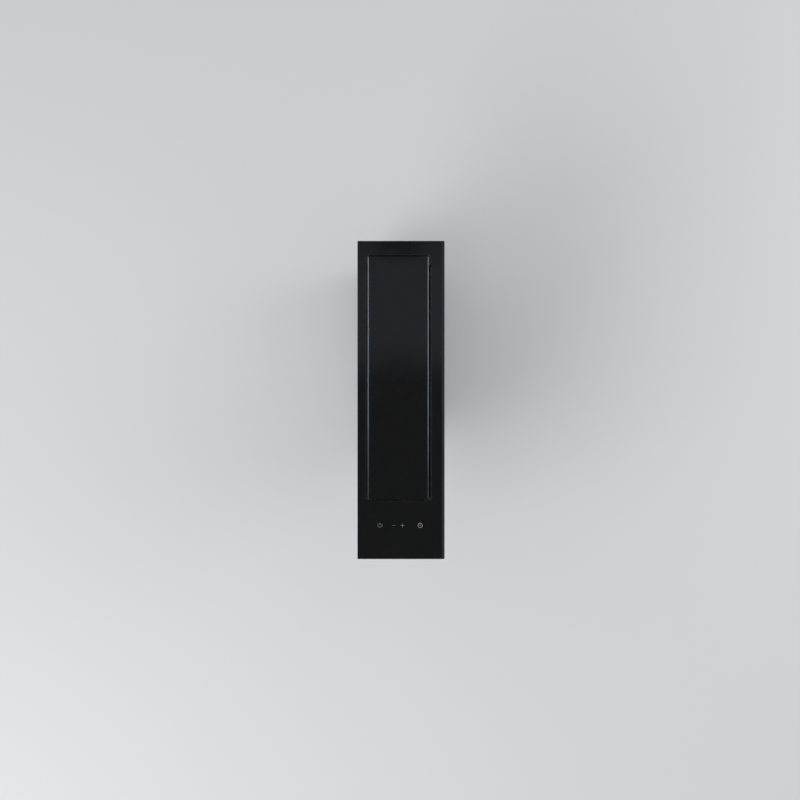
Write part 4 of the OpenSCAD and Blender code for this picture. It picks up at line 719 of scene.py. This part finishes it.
for screwNode, screwAxis in (("frame_screws", "X"), ("lid_screws", "Y"), ("blower_screws", "X"),
                             ("volute_screws", "X")):
    crossHeadScrews(screwNode, screwAxis, "bright_steel")
print("Range hood: screws threaded")


# Spot welds on the sheet metal

def spotWelds():
    # Each is a shallow crater with a raised rim, as the electrode leaves it
    welds = {
        "radius": 2.1 * mm, "height": 0.16 * mm, "sides": 20,
        "profile": ((1.15, -1.0), (1.0, 0.4), (0.86, 1.0), (0.66, 0.3), (0.0, 0.12)),
        "step": 30 * mm, "railDrop": 3.5 * mm, "endInset": 12 * mm}
    low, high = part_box("control_box")  # as wide as the housing without its beads
    railLow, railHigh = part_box("filter_rails")
    profile = [(r * welds["radius"], h * welds["height"]) for r, h in welds["profile"]]
    shape = bmesh.new()
    z = railHigh.z - welds["railDrop"]
    start = railLow.y + welds["endInset"]
    count = int((railHigh.y - railLow.y - 2 * welds["endInset"]) / welds["step"])
    for face, side in ((low.x, -1), (high.x, 1)):
        outward = Vector((0, 0, 1)).rotation_difference(Vector((side, 0, 0))).to_matrix().to_4x4()
        for k in range(count + 1):
            place = Matrix.Translation((face, start + k * welds["step"], z))
            lathe(shape, profile, welds["sides"], place @ outward)
    bmesh.ops.recalc_face_normals(shape, faces=shape.faces)
    newPiece("spot_welds", shape, finishes["zinc_sheet"], "housing")


spotWelds()
print("Range hood: sheet metal welded")


# Floor, light and camera

def paleFloor():
    look = {"reach": 3.2, "sides": 96, "fadeFrom": 1.4, "fadeTo": 2.9, "colour": (0.80, 0.80, 0.80, 1),
            "below": 0.5 * mm}
    shape = bmesh.new()
    bmesh.ops.create_circle(shape, cap_ends=True, radius=look["reach"], segments=look["sides"])
    floor = makeObject("paleFloor", shape)
    floor.location.z = cadBox[0].z - look["below"]
    material, tree, shader = newMaterial("paleFloor", Roughness=0.9, Base_Color=look["colour"])
    distance = put(tree, "VectorMath", {0: surfacePlace(tree)}, operation="LENGTH").outputs["Value"]
    feed(tree, shader, Alpha=remap(tree, distance, look["fadeFrom"], look["fadeTo"], 1.0, 0.0, smooth=True))
    floor.data.materials.append(material)


def sine(degrees):
    return math.sin(math.radians(degrees))


def studioWorld():
    # Levels go by the angle from straight up, in degrees: low overhead, pale round the sides and below.
    # Overhead, a patch a little to the back is paler and bluer, which is what the glass mirrors.
    sky = {
        "levels": ((0, 0.13), (12, 0.15), (32, 0.39), (60, 0.76), (90, 0.86), (180, 0.80)),
        "tint": (0.97, 0.985, 1.0, 1), "overhead": (0.6, 0.95), "steepest": 0.99999,
        "backLift": 0.27, "backTint": (0.72, 0.90, 1.15, 1),
        "backFrom": 0.6, "backTo": 2.1, "backSpread": 0.25,
        "darkFrom": 4.3, "darkTo": 4.55, "darkIn": 0.3, "darkOut": 1.0, "darkLeast": 0.35,
        "wideFrom": 0.028, "wideTo": 0.042, "wideFade": 0.238, "wideEnd": 0.34,
        "wideReach": 0.030, "wideKnee": 0.09, "wideDark": 0.5}
    world = bpy.data.worlds.new("studio")
    world.use_nodes = True
    scene.world = world
    tree = world.node_tree
    direction = put(tree, "SeparateXYZ", {0: put(tree, "TexCoord").outputs["Generated"]}).outputs
    angle = calculate(tree, "ARCCOSINE", calculate(tree, "MINIMUM", direction["Z"], sky["steepest"]))
    ramp = put(tree, "ValToRGB", {"Fac": calculate(tree, "DIVIDE", angle, math.pi)})
    stops = ramp.color_ramp.elements
    for between in sky["levels"][1:-1]:
        stops.new(between[0] / 180)
    for stop, (degrees, level) in zip(stops, sky["levels"]):
        stop.color = (level, level, level, 1)
    overhead = remap(tree, direction["Z"], *sky["overhead"], 0.0, 1.0, smooth=True)

    # To either side the patch reaches further to the front, and what is left in front of it is darker
    aside = calculate(tree, "ABSOLUTE", direction["X"])
    wide = multiply(tree, remap(tree, aside, sky["wideFrom"], sky["wideTo"], 0.0, 1.0, smooth=True),
                    remap(tree, aside, sky["wideFade"], sky["wideEnd"], 1.0, 0.0, smooth=True))
    past = calculate(tree, "MAXIMUM", calculate(tree, "SUBTRACT", aside, sky["wideKnee"]), 0.0)
    spread = calculate(tree, "SUBTRACT", aside, multiply(tree, past, wide))
    towards = calculate(tree, "ADD", direction["Y"], multiply(tree, spread, sky["backSpread"]))
    towards = calculate(tree, "ADD", towards, multiply(tree, wide, sky["wideReach"]))
    back = remap(tree, towards, sine(sky["backFrom"]), sine(sky["backTo"]), 0.0, sky["backLift"], smooth=True)

    # Further back the patch ends, less so to the sides
    beyond = remap(tree, direction["Y"], sine(sky["darkFrom"]), sine(sky["darkTo"]), 0.0, 1.0, smooth=True)
    inside = remap(tree, aside, sine(sky["darkIn"]), sine(sky["darkOut"]), 1.0, sky["darkLeast"], smooth=True)
    clear = calculate(tree, "SUBTRACT", 1.0, multiply(tree, beyond, inside))
    lift = multiply(tree, multiply(tree, back, clear), overhead)
    front = calculate(tree, "SUBTRACT", 1.0, calculate(tree, "DIVIDE", back, sky["backLift"]))
    shaded = multiply(tree, multiply(tree, front, wide), overhead)
    plain = mixColours(tree, 1.0, ramp.outputs["Color"], sky["tint"], blend="MULTIPLY")
    plain = mixColours(tree, multiply(tree, shaded, sky["wideDark"]), plain, (0, 0, 0, 1))
    lifted = mixColours(tree, lift, plain, sky["backTint"], blend="ADD")
    tree.links.new(lifted, tree.nodes["Background"].inputs["Color"])


def softBoxes():
    lamps = {
        "keyLight": {"place": (-1.5, -1.3, 1.3), "size": 1.7, "power": 24.0},
        "fillLight": {"place": (2.1, 0.6, 0.35), "size": 1.1, "power": 11.0}}
    target = Vector((0, 0, -0.2))    # about half way down the hood
    for name, look in lamps.items():
        light = bpy.data.lights.new(name, "AREA")
        light.shape, light.size, light.energy = "SQUARE", look["size"], look["power"]
        lamp = bpy.data.objects.new(name, light)
        lamp.location = look["place"]
        lamp.rotation_euler = (target - Vector(look["place"])).to_track_quat("-Z", "Y").to_euler()
        lamp.visible_camera = False
        scene.collection.objects.link(lamp)


def photoCamera():
    # Straight above the glass, with the photograph's scale and the place of the glass in its frame
    view = {
        "height": 3.0, "sensor": 36.0, "pixel": 1.634 * mm, "pixels": 800, "centreX": 401.0, "centreY": 400.0}
    low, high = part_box("glass_frame")
    camera = bpy.data.cameras.new("photoCamera")
    camera.sensor_width = view["sensor"]
    camera.lens = camera.sensor_width * view["height"] / (view["pixel"] * view["pixels"])
    eye = bpy.data.objects.new("photoCamera", camera)
    half = view["pixels"] / 2
    eye.location = ((low.x + high.x) / 2 - (view["centreX"] - half) * view["pixel"],
                    (low.y + high.y) / 2 + (view["centreY"] - half) * view["pixel"], high.z + view["height"])
    scene.collection.objects.link(eye)
    scene.camera = eye


paleFloor()
studioWorld()
softBoxes()
photoCamera()
scene.view_settings.view_transform = "Standard"
print("Range hood: studio set")
